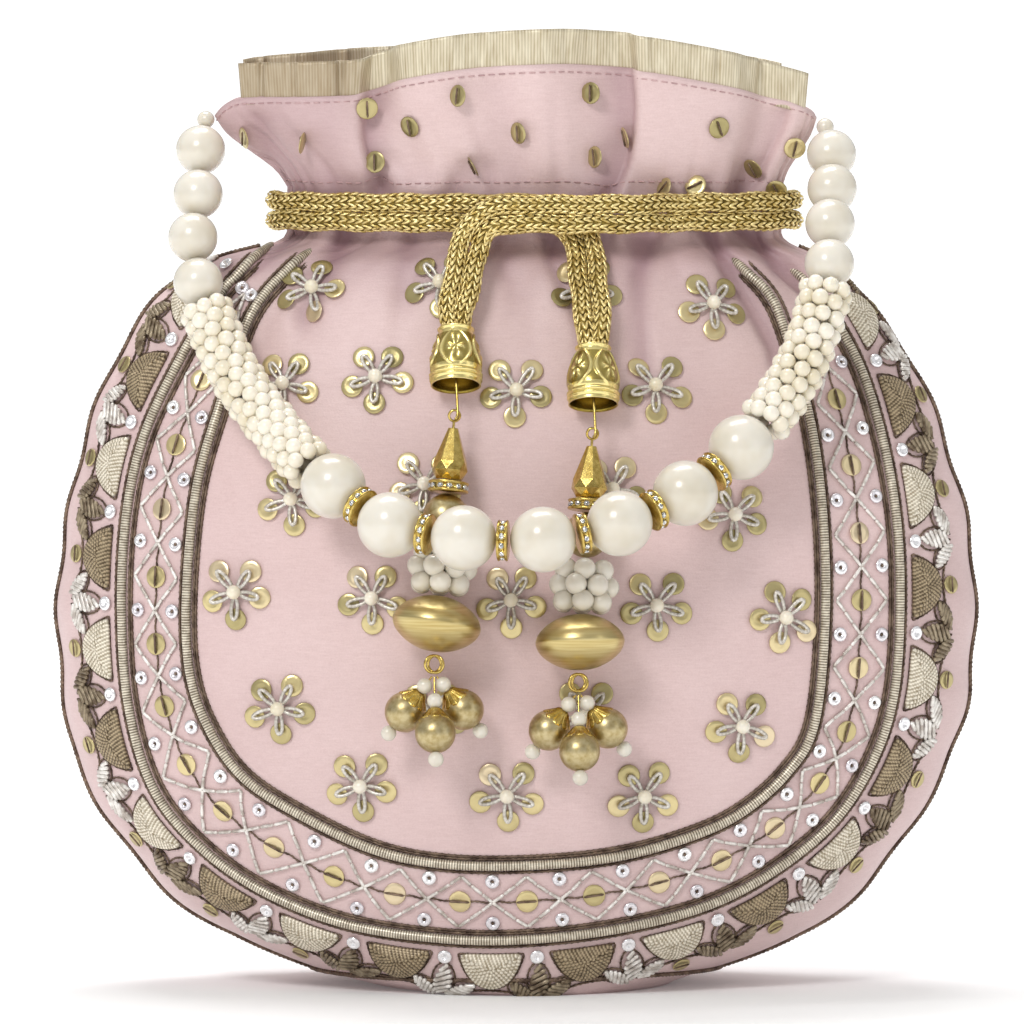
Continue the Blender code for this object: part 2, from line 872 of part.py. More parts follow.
def dangle_profile(reach):
    """Rows of a dangle: wire, small pearl, filigree cap, gold ball that far along, last pearl."""
    ball_top = reach - DANGLE_BALL / 2
    first_top = ball_top - DANGLE_CAP - DANGLE_PEARL
    return [
        (WIRE_RADIUS, 0.0),
        *ball_profile(DANGLE_PEARL, 3, first_top, 0.30),
        (DANGLE_BALL * 0.16, ball_top - DANGLE_CAP),
        (DANGLE_BALL * 0.33, ball_top + DANGLE_BALL * 0.08),
        *ball_profile(DANGLE_BALL, 5, ball_top, 0.66),
        *ball_profile(DANGLE_PEARL, 3, ball_top + DANGLE_BALL * 0.96, 0.45),
    ]


def add_tassel(sections, side, name):
    """One tassel: a bell cap, an eye pin, a string of beads, and three dangles on a ring."""
    bell_x, _, saucer_x = TASSEL_PLACES[side]
    top, lean = bell_axis(sections, side)
    bell_low = top.z - BELL_HEIGHT
    place = along_axis(top, lean)
    turned(f"{name}_bell_cap", bell_profile(), 12, place, "bright_gold")
    ceiling = top + lean * (BELL_HEIGHT - BELL_MOUTH + GAP)

    spans = {
        "cone_bead": CONE_HEIGHT,
        "spacer": SPACER_WIDTH,
        "gold_bead": GOLD_BEAD,
        "pearl_cluster": CLUSTER_HEIGHT,
        "saucer_bead": SAUCER_HEIGHT,
    }
    chain = sum(spans.values()) + GAP * len(spans)
    saucer_z = bell_low - HOOK_DROP - (chain - SAUCER_HEIGHT / 2) * math.cos(CHAIN_LEAN)
    saucer_y = front_of(sections, saucer_x, saucer_z) - SAUCER_RADIUS - 2 * SEAT
    saucer = Vector((saucer_x, saucer_y, saucer_z))
    sway = (saucer_x - bell_x) / chain
    down = Vector((sway, -math.sin(CHAIN_LEAN), -math.cos(CHAIN_LEAN))).normalized()
    at = saucer - down * (chain - SAUCER_HEIGHT / 2)
    add_eye_pin(f"{name}_eye_pin", ceiling, at - down * 2 * GAP)

    cone = [
        (CONE_TIP_RADIUS, 0.0),
        (0.92 * CONE_RADIUS, 0.70 * CONE_HEIGHT),
        (CONE_RADIUS, 0.80 * CONE_HEIGHT),
        (0.78 * CONE_RADIUS, CONE_HEIGHT),
    ]
    place = along_axis(at, down)
    turned(f"{name}_cone_bead", cone, 8, place, "bright_gold", smooth=False)
    at = at + down * (spans["cone_bead"] + GAP)
    place = along_axis(at, down)
    turned(f"{name}_spacer", spacer_profile(SPACER_WIDTH, SPACER_DIAMETER), 10, place, "bright_gold")
    at = at + down * (spans["spacer"] + GAP)
    place = along_axis(at, down)
    turned(f"{name}_gold_bead", ball_profile(GOLD_BEAD, 6), 10, place, "matt_gold")
    at = at + down * (spans["gold_bead"] + GAP)
    cluster = [
        (radius * CLUSTER_RADIUS - CLUSTER_BUMP, share * CLUSTER_HEIGHT)
        for radius, share in (
            (0.52, 0.0),
            (0.80, 0.12),
            (0.92, 0.30),
            (1.00, 0.50),
            (1.00, 0.70),
            (0.94, 0.86),
            (0.62, 1.0),
        )
    ]
    place = along_axis(at, down)
    turned(f"{name}_pearl_cluster", cluster, 14, place, "cream_pearl", 7, CLUSTER_BUMP)
    at = at + down * (spans["pearl_cluster"] + GAP)
    saucer_rows = [
        (radius * SAUCER_RADIUS, share * SAUCER_HEIGHT)
        for radius, share in (
            (0.24, 0.0),
            (0.60, 0.16),
            (0.90, 0.34),
            (1.00, 0.46),
            (1.00, 0.54),
            (0.90, 0.66),
            (0.60, 0.84),
            (0.24, 1.0),
        )
    ]
    place = along_axis(at, down)
    turned(f"{name}_saucer_bead", saucer_rows, 12, place, "matt_gold")
    at = at + down * (spans["saucer_bead"] + GAP)
    centre = at - Vector((0, 0, RING_RADIUS + RING_WIRE))
    add_ring(f"{name}_ring", centre, RING_RADIUS, RING_WIRE, 4, 10)
    apex = centre - Vector((0, 0, RING_RADIUS))
    for k, ball in enumerate(DANGLE_PLACES):
        slope = Vector(ball).normalized()
        clear = RING_WIRE + 2 * GAP
        place = along_axis(apex + slope * clear, slope)
        rows = dangle_profile(Vector(ball).length - clear)
        turned(f"{name}_dangle_{k + 1}", rows, 8, place, "matt_gold")


def next_along(line, start, distance, step):
    """The index along a line, going forward or back, of the first point that is that far away."""
    at = start
    while 0 <= at + step < len(line) and (line[at] - line[start]).length < distance:
        at += step
    return at


def add_pearl(name, centre, direction, diameter, rings, sides):
    """A drilled pearl, strung in a direction."""
    place = along_axis(centre - direction * diameter / 2, direction)
    return turned(name, ball_profile(diameter, rings), sides, place, "cream_pearl")


def direction_at(line, at):
    """The direction of a line at one of its points."""
    low, high = max(at - 8, 0), min(at + 8, len(line) - 1)
    return (line[high] - line[low]).normalized()


def add_handle(tree):
    """The handle: large pearls and spacers in the middle, a woven rope and smaller pearls each side."""
    route = in_metres(HANDLE_ROUTE)
    for end in (0, -1):
        route[end] = pushed_out(route[end], tree, END_PEARL / 2 + GAP)
    line = evenly(curve_through(route, 60), 6000)
    middle = min(range(len(line)), key=lambda i: abs(line[i].x - HANDLE_ROUTE[12][0]))
    add_pearl("large_pearl_middle", line[middle], direction_at(line, middle), LARGE_PEARL, 6, 10)
    for side, side_name in ((LEFT, "left"), (RIGHT, "right")):
        at = middle
        for k in range(LARGE_PEARLS_A_SIDE):
            half = LARGE_PEARL / 2 + GAP + SPACER_WIDTH / 2
            spacer_at = next_along(line, at, half, side)
            at = next_along(line, spacer_at, half, side)
            along = (line[at] - line[spacer_at]).normalized()
            top = line[spacer_at] - along * SPACER_WIDTH / 2
            rows = spacer_profile(SPACER_WIDTH, SPACER_DIAMETER)
            name = f"spacer_{side_name}_{k + 1}"
            turned(name, rows, 10, along_axis(top, along), "bright_gold")
            name = f"large_pearl_{side_name}_{k + 1}"
            add_pearl(name, line[at], along, LARGE_PEARL, 6, 10)
        rope_low = next_along(line, at, LARGE_PEARL / 2 + GAP, side)

        at = 0 if side == LEFT else len(line) - 1
        inward = -side
        along = direction_at(line, at)
        add_pearl(f"end_pearl_{side_name}", line[at], along, END_PEARL, 4, 8)
        reach = END_PEARL / 2
        for k in range(MEDIUM_PEARLS_A_SIDE):
            at = next_along(line, at, reach + GAP + MEDIUM_PEARL / 2, inward)
            reach = MEDIUM_PEARL / 2
            along = direction_at(line, at)
            name = f"medium_pearl_{side_name}_{k + 1}"
            add_pearl(name, line[at], along, MEDIUM_PEARL, 5, 10)
        rope_top = next_along(line, at, MEDIUM_PEARL / 2 + GAP, inward)
        low, high = sorted((rope_low, rope_top))
        add_rope(f"pearl_rope_{side_name}", evenly(line[low : high + 1], ROPE_RINGS))


def add_rope(name, line):
    """The rope of woven seed pearls, as one body with a swell for each pearl."""
    rings = []
    for i, (point, side, up) in enumerate(tube_frames(line)):
        ends = ROPE_DIAMETER / 2 * (0.72 if i in (0, len(line) - 1) else 1.0)
        ring = []
        for k in range(ROPE_SIDES):
            a = math.tau * k / ROPE_SIDES
            reach = ends - ROPE_BUMP * (1 if (i + k) % 2 else 0)
            ring.append(point + side * reach * math.cos(a) + up * reach * math.sin(a))
        rings.append(ring)
    vertices, faces = bridged(rings, ROPE_SIDES)
    return add_solid(name, vertices, faces, "cream_pearl")


def build():
    """Makes every sub-part."""
    clear_scene()
    rings = bag_rings()
    sections = bag_sections()
    tree = surface_tree(rings)
    add_bag(rings)
    add_ribbon("front_ribbon", rings, 204, 345)
    add_ribbon("back_ribbon", rings, 24, 156)
    add_piping(rings, tree)
    add_band("inner_band", INNER_BAND_ROUTE, tree)
    add_band("outer_band", OUTER_BAND_ROUTE, tree)
    add_strands()
    add_tassel(sections, LEFT, "left")
    add_tassel(sections, RIGHT, "right")
    add_handle(tree)


build()
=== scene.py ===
import logging
import math
from dataclasses import dataclass, field
from enum import Enum
from typing import Callable, Iterable, Optional, Sequence

import bmesh
import bpy
import numpy as np
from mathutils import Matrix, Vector
from mathutils.bvhtree import BVHTree


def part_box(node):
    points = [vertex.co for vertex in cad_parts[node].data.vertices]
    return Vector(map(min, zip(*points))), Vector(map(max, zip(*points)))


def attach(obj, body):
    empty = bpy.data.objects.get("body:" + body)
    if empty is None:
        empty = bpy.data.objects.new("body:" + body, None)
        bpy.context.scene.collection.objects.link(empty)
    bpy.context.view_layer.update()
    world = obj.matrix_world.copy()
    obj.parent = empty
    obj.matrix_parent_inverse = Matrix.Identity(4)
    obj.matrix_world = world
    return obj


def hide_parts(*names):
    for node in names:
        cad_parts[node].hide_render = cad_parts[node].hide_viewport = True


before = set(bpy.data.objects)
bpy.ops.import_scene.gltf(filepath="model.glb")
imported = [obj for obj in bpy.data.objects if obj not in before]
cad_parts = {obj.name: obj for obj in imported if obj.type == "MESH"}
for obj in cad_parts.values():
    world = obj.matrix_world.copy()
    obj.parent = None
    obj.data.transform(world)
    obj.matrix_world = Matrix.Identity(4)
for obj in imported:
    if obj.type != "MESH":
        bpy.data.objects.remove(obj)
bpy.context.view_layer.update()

LOG = logging.getLogger("reticule")
MM = 0.001
BODY = "root"
UP = Vector((0.0, 0.0, 1.0))

Row = Sequence[float]
Grid = np.ndarray
Shape = tuple[Grid, list]
Axes = tuple[Grid, Grid, Grid]
Piece = bpy.types.Object
Tree = bpy.types.NodeTree
Node = bpy.types.Node
Socket = bpy.types.NodeSocket


class Side(Enum):
    """Which side of the front a tassel or a handle's end is on."""

    LEFT = "left"
    RIGHT = "right"


# Small helpers


def linear(colour: str) -> tuple[float, float, float, float]:
    """Turns an sRGB hex colour into the linear values that a shader takes.

    Args:
        colour: The colour as "#rrggbb".

    Returns:
        Red, green, blue and alpha, linear.
    """
    parts = [int(colour[i : i + 2], 16) / 255 for i in (1, 3, 5)]
    turned = [p / 12.92 if p <= 0.04045 else ((p + 0.055) / 1.055) ** 2.4 for p in parts]
    return (turned[0], turned[1], turned[2], 1.0)


def add(tree: Tree, kind: str, inputs: Optional[dict] = None, **settings) -> Node:
    """Adds a node with its settings and its links.

    Args:
        tree: The tree that gets the node.
        kind: The node's type name.
        inputs: A value, a socket or a node for each input, by name or place.
        settings: The node's own settings.

    Returns:
        The node.
    """
    made = tree.nodes.new(kind)
    for key, value in settings.items():
        setattr(made, key, value)
    for key, value in (inputs or {}).items():
        socket = made.inputs[key]
        if isinstance(value, Node):
            tree.links.new(value.outputs[0], socket)
        elif isinstance(value, Socket):
            tree.links.new(value, socket)
        else:
            socket.default_value = value
    return made


def calc(tree: Tree, operation: str, *values) -> Node:
    """Adds a node that works out one number from others."""
    return add(tree, "ShaderNodeMath", dict(enumerate(values)), operation=operation)


def unit(vectors: Grid) -> Grid:
    """Vectors of length one, along the last axis."""
    length = np.linalg.norm(vectors, axis=-1, keepdims=True)
    return vectors / np.maximum(length, 1e-12)


def monotone(xs: Row, ys: Row, at: Grid) -> Grid:
    """Reads a table along a smooth curve that never swings past its rows.

    Args:
        xs: The table's first column, rising.
        ys: The values to read.
        at: Where to read them.

    Returns:
        The values, shaped as `at`.
    """
    xs, ys, at = np.asarray(xs, float), np.asarray(ys, float), np.asarray(at, float)
    steps = np.diff(xs)
    slopes = np.diff(ys) / steps
    turns = np.zeros_like(ys)
    same = slopes[:-1] * slopes[1:] > 0
    total = np.where(same, slopes[:-1] + slopes[1:], 1.0)
    turns[1:-1] = np.where(same, 2 * slopes[:-1] * slopes[1:] / total, 0.0)
    turns[0], turns[-1] = slopes[0], slopes[-1]
    cell = np.clip(np.searchsorted(xs, at) - 1, 0, len(steps) - 1)
    t = np.clip((at - xs[cell]) / steps[cell], 0, 1)
    span = steps[cell]
    rise = 3 * t**2 - 2 * t**3
    start = t**3 - 2 * t**2 + t
    end = t**3 - t**2
    return ys[cell] * (1 - rise) + ys[cell + 1] * rise + span * (turns[cell] * start + turns[cell + 1] * end)


def curve_through(points: Iterable[Row], steps: int) -> Grid:
    """A smooth curve through points.

    Args:
        points: The points.
        steps: Samples from each point to the next.

    Returns:
        The samples, one row each.
    """
    p = np.array([tuple(point) for point in points], float)
    p = np.vstack([2 * p[0] - p[1], p, 2 * p[-1] - p[-2]])
    t = (np.arange(steps) / steps)[:, None]
    runs = []
    for before, a, b, after in zip(p, p[1:], p[2:], p[3:]):
        bend = 2 * before - 5 * a + 4 * b - after
        runs.append(0.5 * (2 * a + (b - before) * t + bend * t**2 + (3 * a - before - 3 * b + after) * t**3))
    return np.vstack([*runs, p[-2]])


def run_of(line: Grid) -> Grid:
    """How far along a line each of its points is."""
    return np.concatenate([[0.0], np.cumsum(np.linalg.norm(np.diff(line, axis=0), axis=1))])


def evenly(line: Grid, count: int) -> Grid:
    """That many points, evenly spaced along a line."""
    along = run_of(line)
    at = np.linspace(0, along[-1], count)
    return np.stack([np.interp(at, along, line[:, axis]) for axis in range(line.shape[1])], axis=1)


def length_of(line: Grid) -> float:
    """The length of a line of points."""
    return float(np.linalg.norm(np.diff(line, axis=0), axis=1).sum())


def tube_frames(line: Grid) -> Axes:
    """Directions that follow a line without twisting round it.

    Args:
        line: The points.

    Returns:
        Along, side and up at each point.
    """
    along = unit(np.gradient(line, axis=0))
    side = np.zeros_like(along)
    start = np.cross(along[0], (0.0, 1.0, 0.0))
    if np.linalg.norm(start) < 0.1:
        start = np.cross(along[0], (1.0, 0.0, 0.0))
    side[0] = unit(start)
    for i in range(1, len(line)):
        rest = side[i - 1] - along[i] * float(side[i - 1] @ along[i])
        side[i] = unit(rest)
    return along, side, np.cross(along, side)


def turned_frames(x: Grid, y: Grid, z: Grid) -> Grid:
    """The turns, as XYZ angles, that carry the three axes to these directions."""
    rx = np.arctan2(y[:, 2], z[:, 2])
    ry = -np.arcsin(np.clip(x[:, 2], -1, 1))
    rz = np.arctan2(x[:, 1], x[:, 0])
    return np.stack([rx, ry, rz], axis=1)


def frames_from(normal: Grid, along: Grid) -> Axes:
    """Three square axes: x along, z out of the surface, and y across."""
    z = unit(normal)
    x = unit(along - z * np.sum(along * z, axis=1, keepdims=True))
    return x, np.cross(z, x), z


def linked(name: str, data: bpy.types.ID) -> Piece:
    """A new object that shows that data in the scene."""
    made = bpy.data.objects.new(name, data)
    bpy.context.scene.collection.objects.link(made)
    return made


def new_mesh(name: str, points: Grid, faces: list, finish: Optional["Finish"] = None) -> Piece:
    """A smooth mesh from its points and faces, in its finish."""
    mesh = bpy.data.meshes.new(name)
    mesh.from_pydata(np.asarray(points).reshape(-1, 3).tolist(), [], [tuple(f) for f in faces])
    mesh.validate()
    mesh.shade_smooth()
    if finish is not None:
        mesh.materials.append(finish.material())
    return linked(name, mesh)


def face_outwards(piece: Piece) -> None:
    """Turns the faces of a closed mesh outwards where they point in."""
    bm = bmesh.new()
    bm.from_mesh(piece.data)
    if bm.calc_volume(signed=True) < 0:
        bmesh.ops.reverse_faces(bm, faces=bm.faces)
        bm.to_mesh(piece.data)
    bm.free()


def grid_faces(rows: int, columns: int, start: int = 0, ring: bool = False) -> list[tuple[int, ...]]:
    """The quads of a grid of points, which closes on itself across where `ring` is true."""
    reach = columns if ring else columns - 1
    faces = []
    for i in range(rows - 1):
        for k in range(reach):
            a, b = start + i * columns + k, start + i * columns + (k + 1) % columns
            faces.append((a, b, b + columns, a + columns))
    return faces


def shell(outer: Grid, inner: Grid) -> Shape:
    """A closed wall between two grids of the same shape.

    Args:
        outer: Rows of points of the outer face.
        inner: The same for the inner face.

    Returns:
        Points and faces.
    """
    rows, columns = outer.shape[:2]
    behind = rows * columns
    faces = grid_faces(rows, columns)
    faces += [tuple(reversed(face)) for face in grid_faces(rows, columns, behind)]
    rim = list(range(columns))
    rim += [i * columns + columns - 1 for i in range(1, rows)]
    rim += [(rows - 1) * columns + k for k in range(columns - 2, -1, -1)]
    rim += [i * columns for i in range(rows - 2, 0, -1)]
    for a, b in zip(rim, rim[1:] + rim[:1]):
        faces.append((b, a, behind + a, behind + b))
    return np.vstack([outer.reshape(-1, 3), inner.reshape(-1, 3)]), faces


def lathe(profile: Grid, sides: int, relief: Optional[Callable[[Grid, Grid], Grid]] = None) -> Shape:
    """A turned body about -Z, closed at both ends.

    Args:
        profile: Rows of radius and distance down the axis, from the top.
        sides: Points round.
        relief: Extra radius for an angle and a share of the profile.

    Returns:
        Points and faces, the faces outwards.
    """
    profile = np.asarray(profile, float)
    angles = np.linspace(0, math.tau, sides, endpoint=False)
    radius = np.repeat(profile[:, :1], sides, axis=1)
    if relief is not None:
        share = np.linspace(0, 1, len(profile))[:, None]
        radius = radius + relief(angles[None, :], share)
    points = np.stack(
        [radius * np.cos(angles), radius * np.sin(angles), np.repeat(-profile[:, 1:2], sides, axis=1)], axis=2
    )
    rows = len(profile)
    faces = [tuple(reversed(face)) for face in grid_faces(rows, sides, ring=True)]
    faces.append(tuple(range(sides)))
    faces.append(tuple(reversed(range((rows - 1) * sides, rows * sides))))
    return points.reshape(-1, 3), faces


def placed(points: Grid, top: Row, down: Row) -> Grid:
    """Carries points turned about -Z to a top point and a direction down."""
    turn = (-UP).rotation_difference(Vector(down)).to_matrix()
    return points @ np.array(turn).T + np.array(tuple(top))


def hung(name: str, shape: Shape, top: Grid, down: Grid, finish: "Finish") -> Piece:
    """A shape turned about -Z as a piece that hangs from a point, in its finish."""
    return new_mesh(name, placed(shape[0], top, down), shape[1], finish)


def shape_of(bm: bmesh.types.BMesh) -> Shape:
    """The points and faces of a working mesh, which is freed."""
    points = np.array([v.co[:] for v in bm.verts])
    faces = [tuple(v.index for v in f.verts) for f in bm.faces]
    bm.free()
    return points, faces


def together(parts: Sequence[Shape]) -> Shape:
    """Several bodies as one set of points and faces."""
    points, faces, start = [], [], 0
    for some, theirs in parts:
        points.append(some)
        faces += [tuple(i + start for i in face) for face in theirs]
        start += len(some)
    return np.vstack(points), faces


def smooth_profile(rows: Sequence[Row], count: int) -> Grid:
    """A profile of radius and distance down, drawn as a smooth line with that many rows."""
    return evenly(curve_through([(*row, 0.0) for row in rows], 12), count)[:, :2]


def ball_profile(diameter: float, rows: int, hole: float = 0.10) -> Grid:
    """Rows of a drilled ball, from its top hole to its lower one."""
    start = math.asin(hole)
    a = np.linspace(start, math.pi - start, rows)
    return np.stack([np.sin(a), 1 - np.cos(a)], axis=1) * diameter / 2


def present(piece: Piece, slot: str, *nodes: str) -> Piece:
    """Hands a finished piece to the frame: its body, and the nodes it replaces."""
    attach(piece, BODY)
    if nodes:
        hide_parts(*nodes)
    LOG.info("%s: %d faces", piece.name, len(piece.data.polygons))
    return piece


def centre_of(node: str) -> Grid:
    """The middle of a CAD node's box at rest."""
    low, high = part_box(node)
    return (np.array(low) + np.array(high)) / 2


# Finishes


@dataclass(frozen=True)
class Finish:
    """A real material and how its surface was made."""

    name: str
    colour: str
    shade: str
    roughness: float
    metallic: float = 0.0

    def material(self) -> bpy.types.Material:
        """The material of this finish, made once."""
        found = bpy.data.materials.get(self.name)
        if found:
            return found
        made = bpy.data.materials.new(self.name)
        made.use_nodes = True
        shader = made.node_tree.nodes["Principled BSDF"]
        shader.inputs["Base Color"].default_value = linear(self.colour)
        shader.inputs["Roughness"].default_value = self.roughness
        shader.inputs["Metallic"].default_value = self.metallic
        self.dress(made.node_tree, shader)
        return made

    def dress(self, tree: Tree, shader: Node) -> None:
        """Adds what this finish shows beyond a plain colour.

        Args:
            tree: The material's tree.
            shader: Its Principled shader.
        """

    def grain(self, tree: Tree, size: Row, detail: float = 2.0) -> Socket:
        """Noise on the object's own coordinates.

        Args:
            tree: The material's tree.
            size: One fleck's size along each axis, in millimetres.
            detail: Finer octaves.

        Returns:
            The noise, 0 to 1.
        """
        place = add(tree, "ShaderNodeTexCoord")
        scale = tuple(1.0 / (s * MM) for s in size)
        fit = add(tree, "ShaderNodeMapping", {"Vector": place.outputs["Object"], "Scale": scale})
        noise = add(tree, "ShaderNodeTexNoise",
                    {"Vector": fit, "Scale": 1.0, "Detail": detail, "Roughness": 0.55})
        return noise.outputs["Fac"]

    def tinted(self, tree: Tree, shader: Node, mask: Socket, low: float = 0.35, high: float = 0.65) -> Node:
        """Runs the base colour from the shade to the colour along a mask.

        Args:
            tree: The material's tree.
            shader: Its Principled shader.
            mask: What drives the change.
            low: The mask where the shade is full.
            high: The mask where the colour is full.

        Returns:
            The ramp.
        """
        ramp = add(tree, "ShaderNodeValToRGB", {"Fac": mask})
        ramp.color_ramp.elements[0].position = low
        ramp.color_ramp.elements[0].color = linear(self.shade)
        ramp.color_ramp.elements[1].position = high
        ramp.color_ramp.elements[1].color = linear(self.colour)
        tree.links.new(ramp.outputs["Color"], shader.inputs["Base Color"])
        return ramp

    def raised(self, tree: Tree, shader: Node, height: Socket, depth: float, strength: float = 1.0) -> None:
        """Bumps the surface by a height field.

        Args:
            tree: The material's tree.
            shader: Its Principled shader.
            height: The height, 0 to 1.
            depth: How deep that is, in millimetres.
            strength: How much of it shows.
        """
        bump = add(tree, "ShaderNodeBump", {"Height": height, "Distance": depth * MM, "Strength": strength})
        tree.links.new(bump.outputs["Normal"], shader.inputs["Normal"])


@dataclass(frozen=True)
class Satin(Finish):
    """Silk satin, woven with floating warps: a soft broad sheen, faint level slubs, and painted shade in its
    folds.
    """

    # The mauve of the painted shade in the creases, under the cords and inside.
    painted_shade: str = "#8f6875"

    def dress(self, tree: Tree, shader: Node) -> None:
        """Adds slubs 0.4 mm high and 3 mm long, a fine sparkle of weave, a slow change of tone, and painted
        shade from the attribute "fold".
        """
        slub = self.grain(tree, (3.0, 3.0, 0.4), 3.0)
        weave = self.grain(tree, (0.38, 0.38, 0.38), 1.0)
        broad = self.grain(tree, (28.0, 28.0, 34.0), 2.0)
        half = calc(tree, "MULTIPLY", calc(tree, "ADD", slub, broad), 0.5)
        fine = calc(tree, "MULTIPLY_ADD", weave, 0.45, half)
        ramp = self.tinted(tree, shader, fine.outputs[0], 0.48, 0.94)
        # Painted shade: the attribute "fold" mixes the cloth's colour towards a dark mauve.
        fold = add(tree, "ShaderNodeAttribute", attribute_name="fold")
        painted_shade = add(tree, "ShaderNodeMix",
                   {"Factor": fold.outputs["Fac"], "A": ramp.outputs["Color"], "B": linear(self.painted_shade)},
                   data_type="RGBA")
        tree.links.new(painted_shade.outputs["Result"], shader.inputs["Base Color"])
        height = calc(tree, "MULTIPLY_ADD", weave, 1.6, slub)
        self.raised(tree, shader, height.outputs[0], 0.055, 0.5)
        shader.inputs["Sheen Weight"].default_value = 0.18
        shader.inputs["Sheen Roughness"].default_value = 0.35
        shader.inputs["Sheen Tint"].default_value = linear("#ffeef2")
        shader.inputs["Specular IOR Level"].default_value = 0.40


@dataclass(frozen=True)
class Tissue(Finish):
    """Gold tissue ribbon, metal weft on a fine warp: threads that catch the light one by one."""

    def dress(self, tree: Tree, shader: Node) -> None:
        """Adds threads across the ribbon, drawn 0.75 mm apart so that they show, from its own UV map, and
        painted shade on its left end.
        """
        place = add(tree, "ShaderNodeUVMap", uv_map="run")
        fit = add(tree, "ShaderNodeMapping", {"Vector": place, "Scale": (419.0, 60.0, 1.0)})
        wave = add(tree, "ShaderNodeTexWave",
                   {"Vector": fit, "Scale": 1.0, "Distortion": 1.4, "Detail": 3.0, "Detail Scale": 2.0},
                   wave_type="BANDS", bands_direction="X")
        spots = add(tree, "ShaderNodeTexNoise", {"Vector": fit, "Scale": 2.2, "Detail": 3.0})
        mixed = calc(tree, "MULTIPLY_ADD", wave.outputs["Fac"], 0.35, spots.outputs["Fac"])
        ramp = self.tinted(tree, shader, mixed.outputs[0], 0.24, 1.04)
        # Painted shade: left of x = -34 mm the colour runs towards dark brown, halfway there by x = -40 mm.
        spot = add(tree, "ShaderNodeSeparateXYZ", {0: add(tree, "ShaderNodeTexCoord").outputs["Object"]})
        side = add(tree, "ShaderNodeMapRange",
                   {"Value": spot.outputs["X"], "From Min": -0.040, "From Max": -0.034, "To Min": 0.50,
                    "To Max": 0.0})
        shade = add(tree, "ShaderNodeMix",
                    {"Factor": side, "A": ramp.outputs["Color"], "B": linear("#85694a")}, data_type="RGBA")
        tree.links.new(shade.outputs["Result"], shader.inputs["Base Color"])
        self.raised(tree, shader, mixed.outputs[0], 0.07, 0.8)


@dataclass(frozen=True)
class MetalThread(Finish):
    """Metal-wrapped thread: bright where a turn faces the light, dark in the grooves."""

    fleck: float = 0.5
    depth: float = 0.05

    def dress(self, tree: Tree, shader: Node) -> None:
        """Adds flecks of tarnish and a fine wrap."""
        tarnish = self.grain(tree, (self.fleck * 5,) * 3, 3.0)
        self.tinted(tree, shader, tarnish, 0.36, 0.62)
        wrap = self.grain(tree, (self.fleck,) * 3, 1.0)
        self.raised(tree, shader, wrap, self.depth, 0.7)


@dataclass(frozen=True)
class CoiledWire(MetalThread):
    """Wire coiled round a core: a painted highlight on each turn's crest and painted shade where it meets the
    next.
    """

    # How strongly the painted highlight and shade follow the turns.
    turns: float = 0.45

    def dress(self, tree: Tree, shader: Node) -> None:
        """Adds a painted highlight and painted shade along the turns, from the attribute "rib", and a little
        tarnish.
        """
        rib = add(tree, "ShaderNodeAttribute", attribute_name="rib")
        tarnish = self.grain(tree, (self.fleck * 3,) * 3, 3.0)
        mixed = calc(tree, "MULTIPLY_ADD", rib.outputs["Fac"], self.turns, tarnish)
        self.tinted(tree, shader, mixed.outputs[0], 0.15, 0.86)


@dataclass(frozen=True)
class PearlLacquer(Finish):
    """Pearl lacquer dipped over a moulded bead: milky, with a wet coat and a warm body."""

    def dress(self, tree: Tree, shader: Node) -> None:
        """Adds a coat, a little light inside, and clouds in the lacquer."""
        self.tinted(tree, shader, self.grain(tree, (9.0, 9.0, 9.0), 2.0), 0.25, 0.60)
        shader.inputs["Subsurface Weight"].default_value = 0.15
        shader.inputs["Subsurface Radius"].default_value = (0.004, 0.003, 0.002)
        shader.inputs["Coat Weight"].default_value = 0.6
        shader.inputs["Coat Roughness"].default_value = 0.20
        shader.inputs["Sheen Weight"].default_value = 0.15


@dataclass(frozen=True)
class GoldPlate(Finish):
    """Gold plate on a moulded bead, its colour uneven in random patches."""

    wear: float = 1.2
    depth: float = 0.02

    def dress(self, tree: Tree, shader: Node) -> None:
        """Adds uneven plate and fine scratches."""
        self.tinted(tree, shader, self.grain(tree, (self.wear,) * 3, 3.0), 0.30, 0.62)
        fine = self.grain(tree, (0.5, 0.5, 0.12), 2.0)
        self.raised(tree, shader, fine, self.depth, 0.6)


@dataclass(frozen=True)
class Paper(Finish):
    """Matt white backdrop paper: no gloss, a faint tooth."""

    def dress(self, tree: Tree, shader: Node) -> None:
        """Adds the paper's tooth, and a painted glow of light that keeps the far paper as white as the near,
        weak near the bag.
        """
        self.tinted(tree, shader, self.grain(tree, (40.0, 40.0, 40.0), 2.0), 0.2, 0.8)
        shader.inputs["Specular IOR Level"].default_value = 0.1
        shader.inputs["Emission Color"].default_value = linear("#ffffff")
        # Painted light: the paper glows, at 0.06 near the bag rising to 0.60 by 1.2 m away.
        place = add(tree, "ShaderNodeTexCoord")
        away = add(tree, "ShaderNodeVectorMath", {0: place.outputs["Object"]}, operation="LENGTH")
        painted_glow = add(tree, "ShaderNodeMapRange",
                  {"Value": away.outputs["Value"], "From Min": 0.12, "From Max": 1.2, "To Min": 0.06,
                   "To Max": 0.60}, interpolation_type="SMOOTHSTEP")
        tree.links.new(painted_glow.outputs["Result"], shader.inputs["Emission Strength"])


@dataclass(frozen=True)
class Sequin(Finish):
    """Pressed gold foil: a thin bright disc, some olive with age and some still pale."""

    pale: str = "#e6d3b4"

    def dress(self, tree: Tree, shader: Node) -> None:
        """Takes each sequin's own colour from its tone."""
        tone = add(tree, "ShaderNodeAttribute", attribute_name="tone")
        ramp = self.tinted(tree, shader, tone.outputs["Fac"], 0.1, 0.7)
        ramp.color_ramp.elements.new(1.0).color = linear(self.pale)
        self.raised(tree, shader, self.grain(tree, (1.4, 1.4, 1.4), 1.0), 0.10, 0.5)


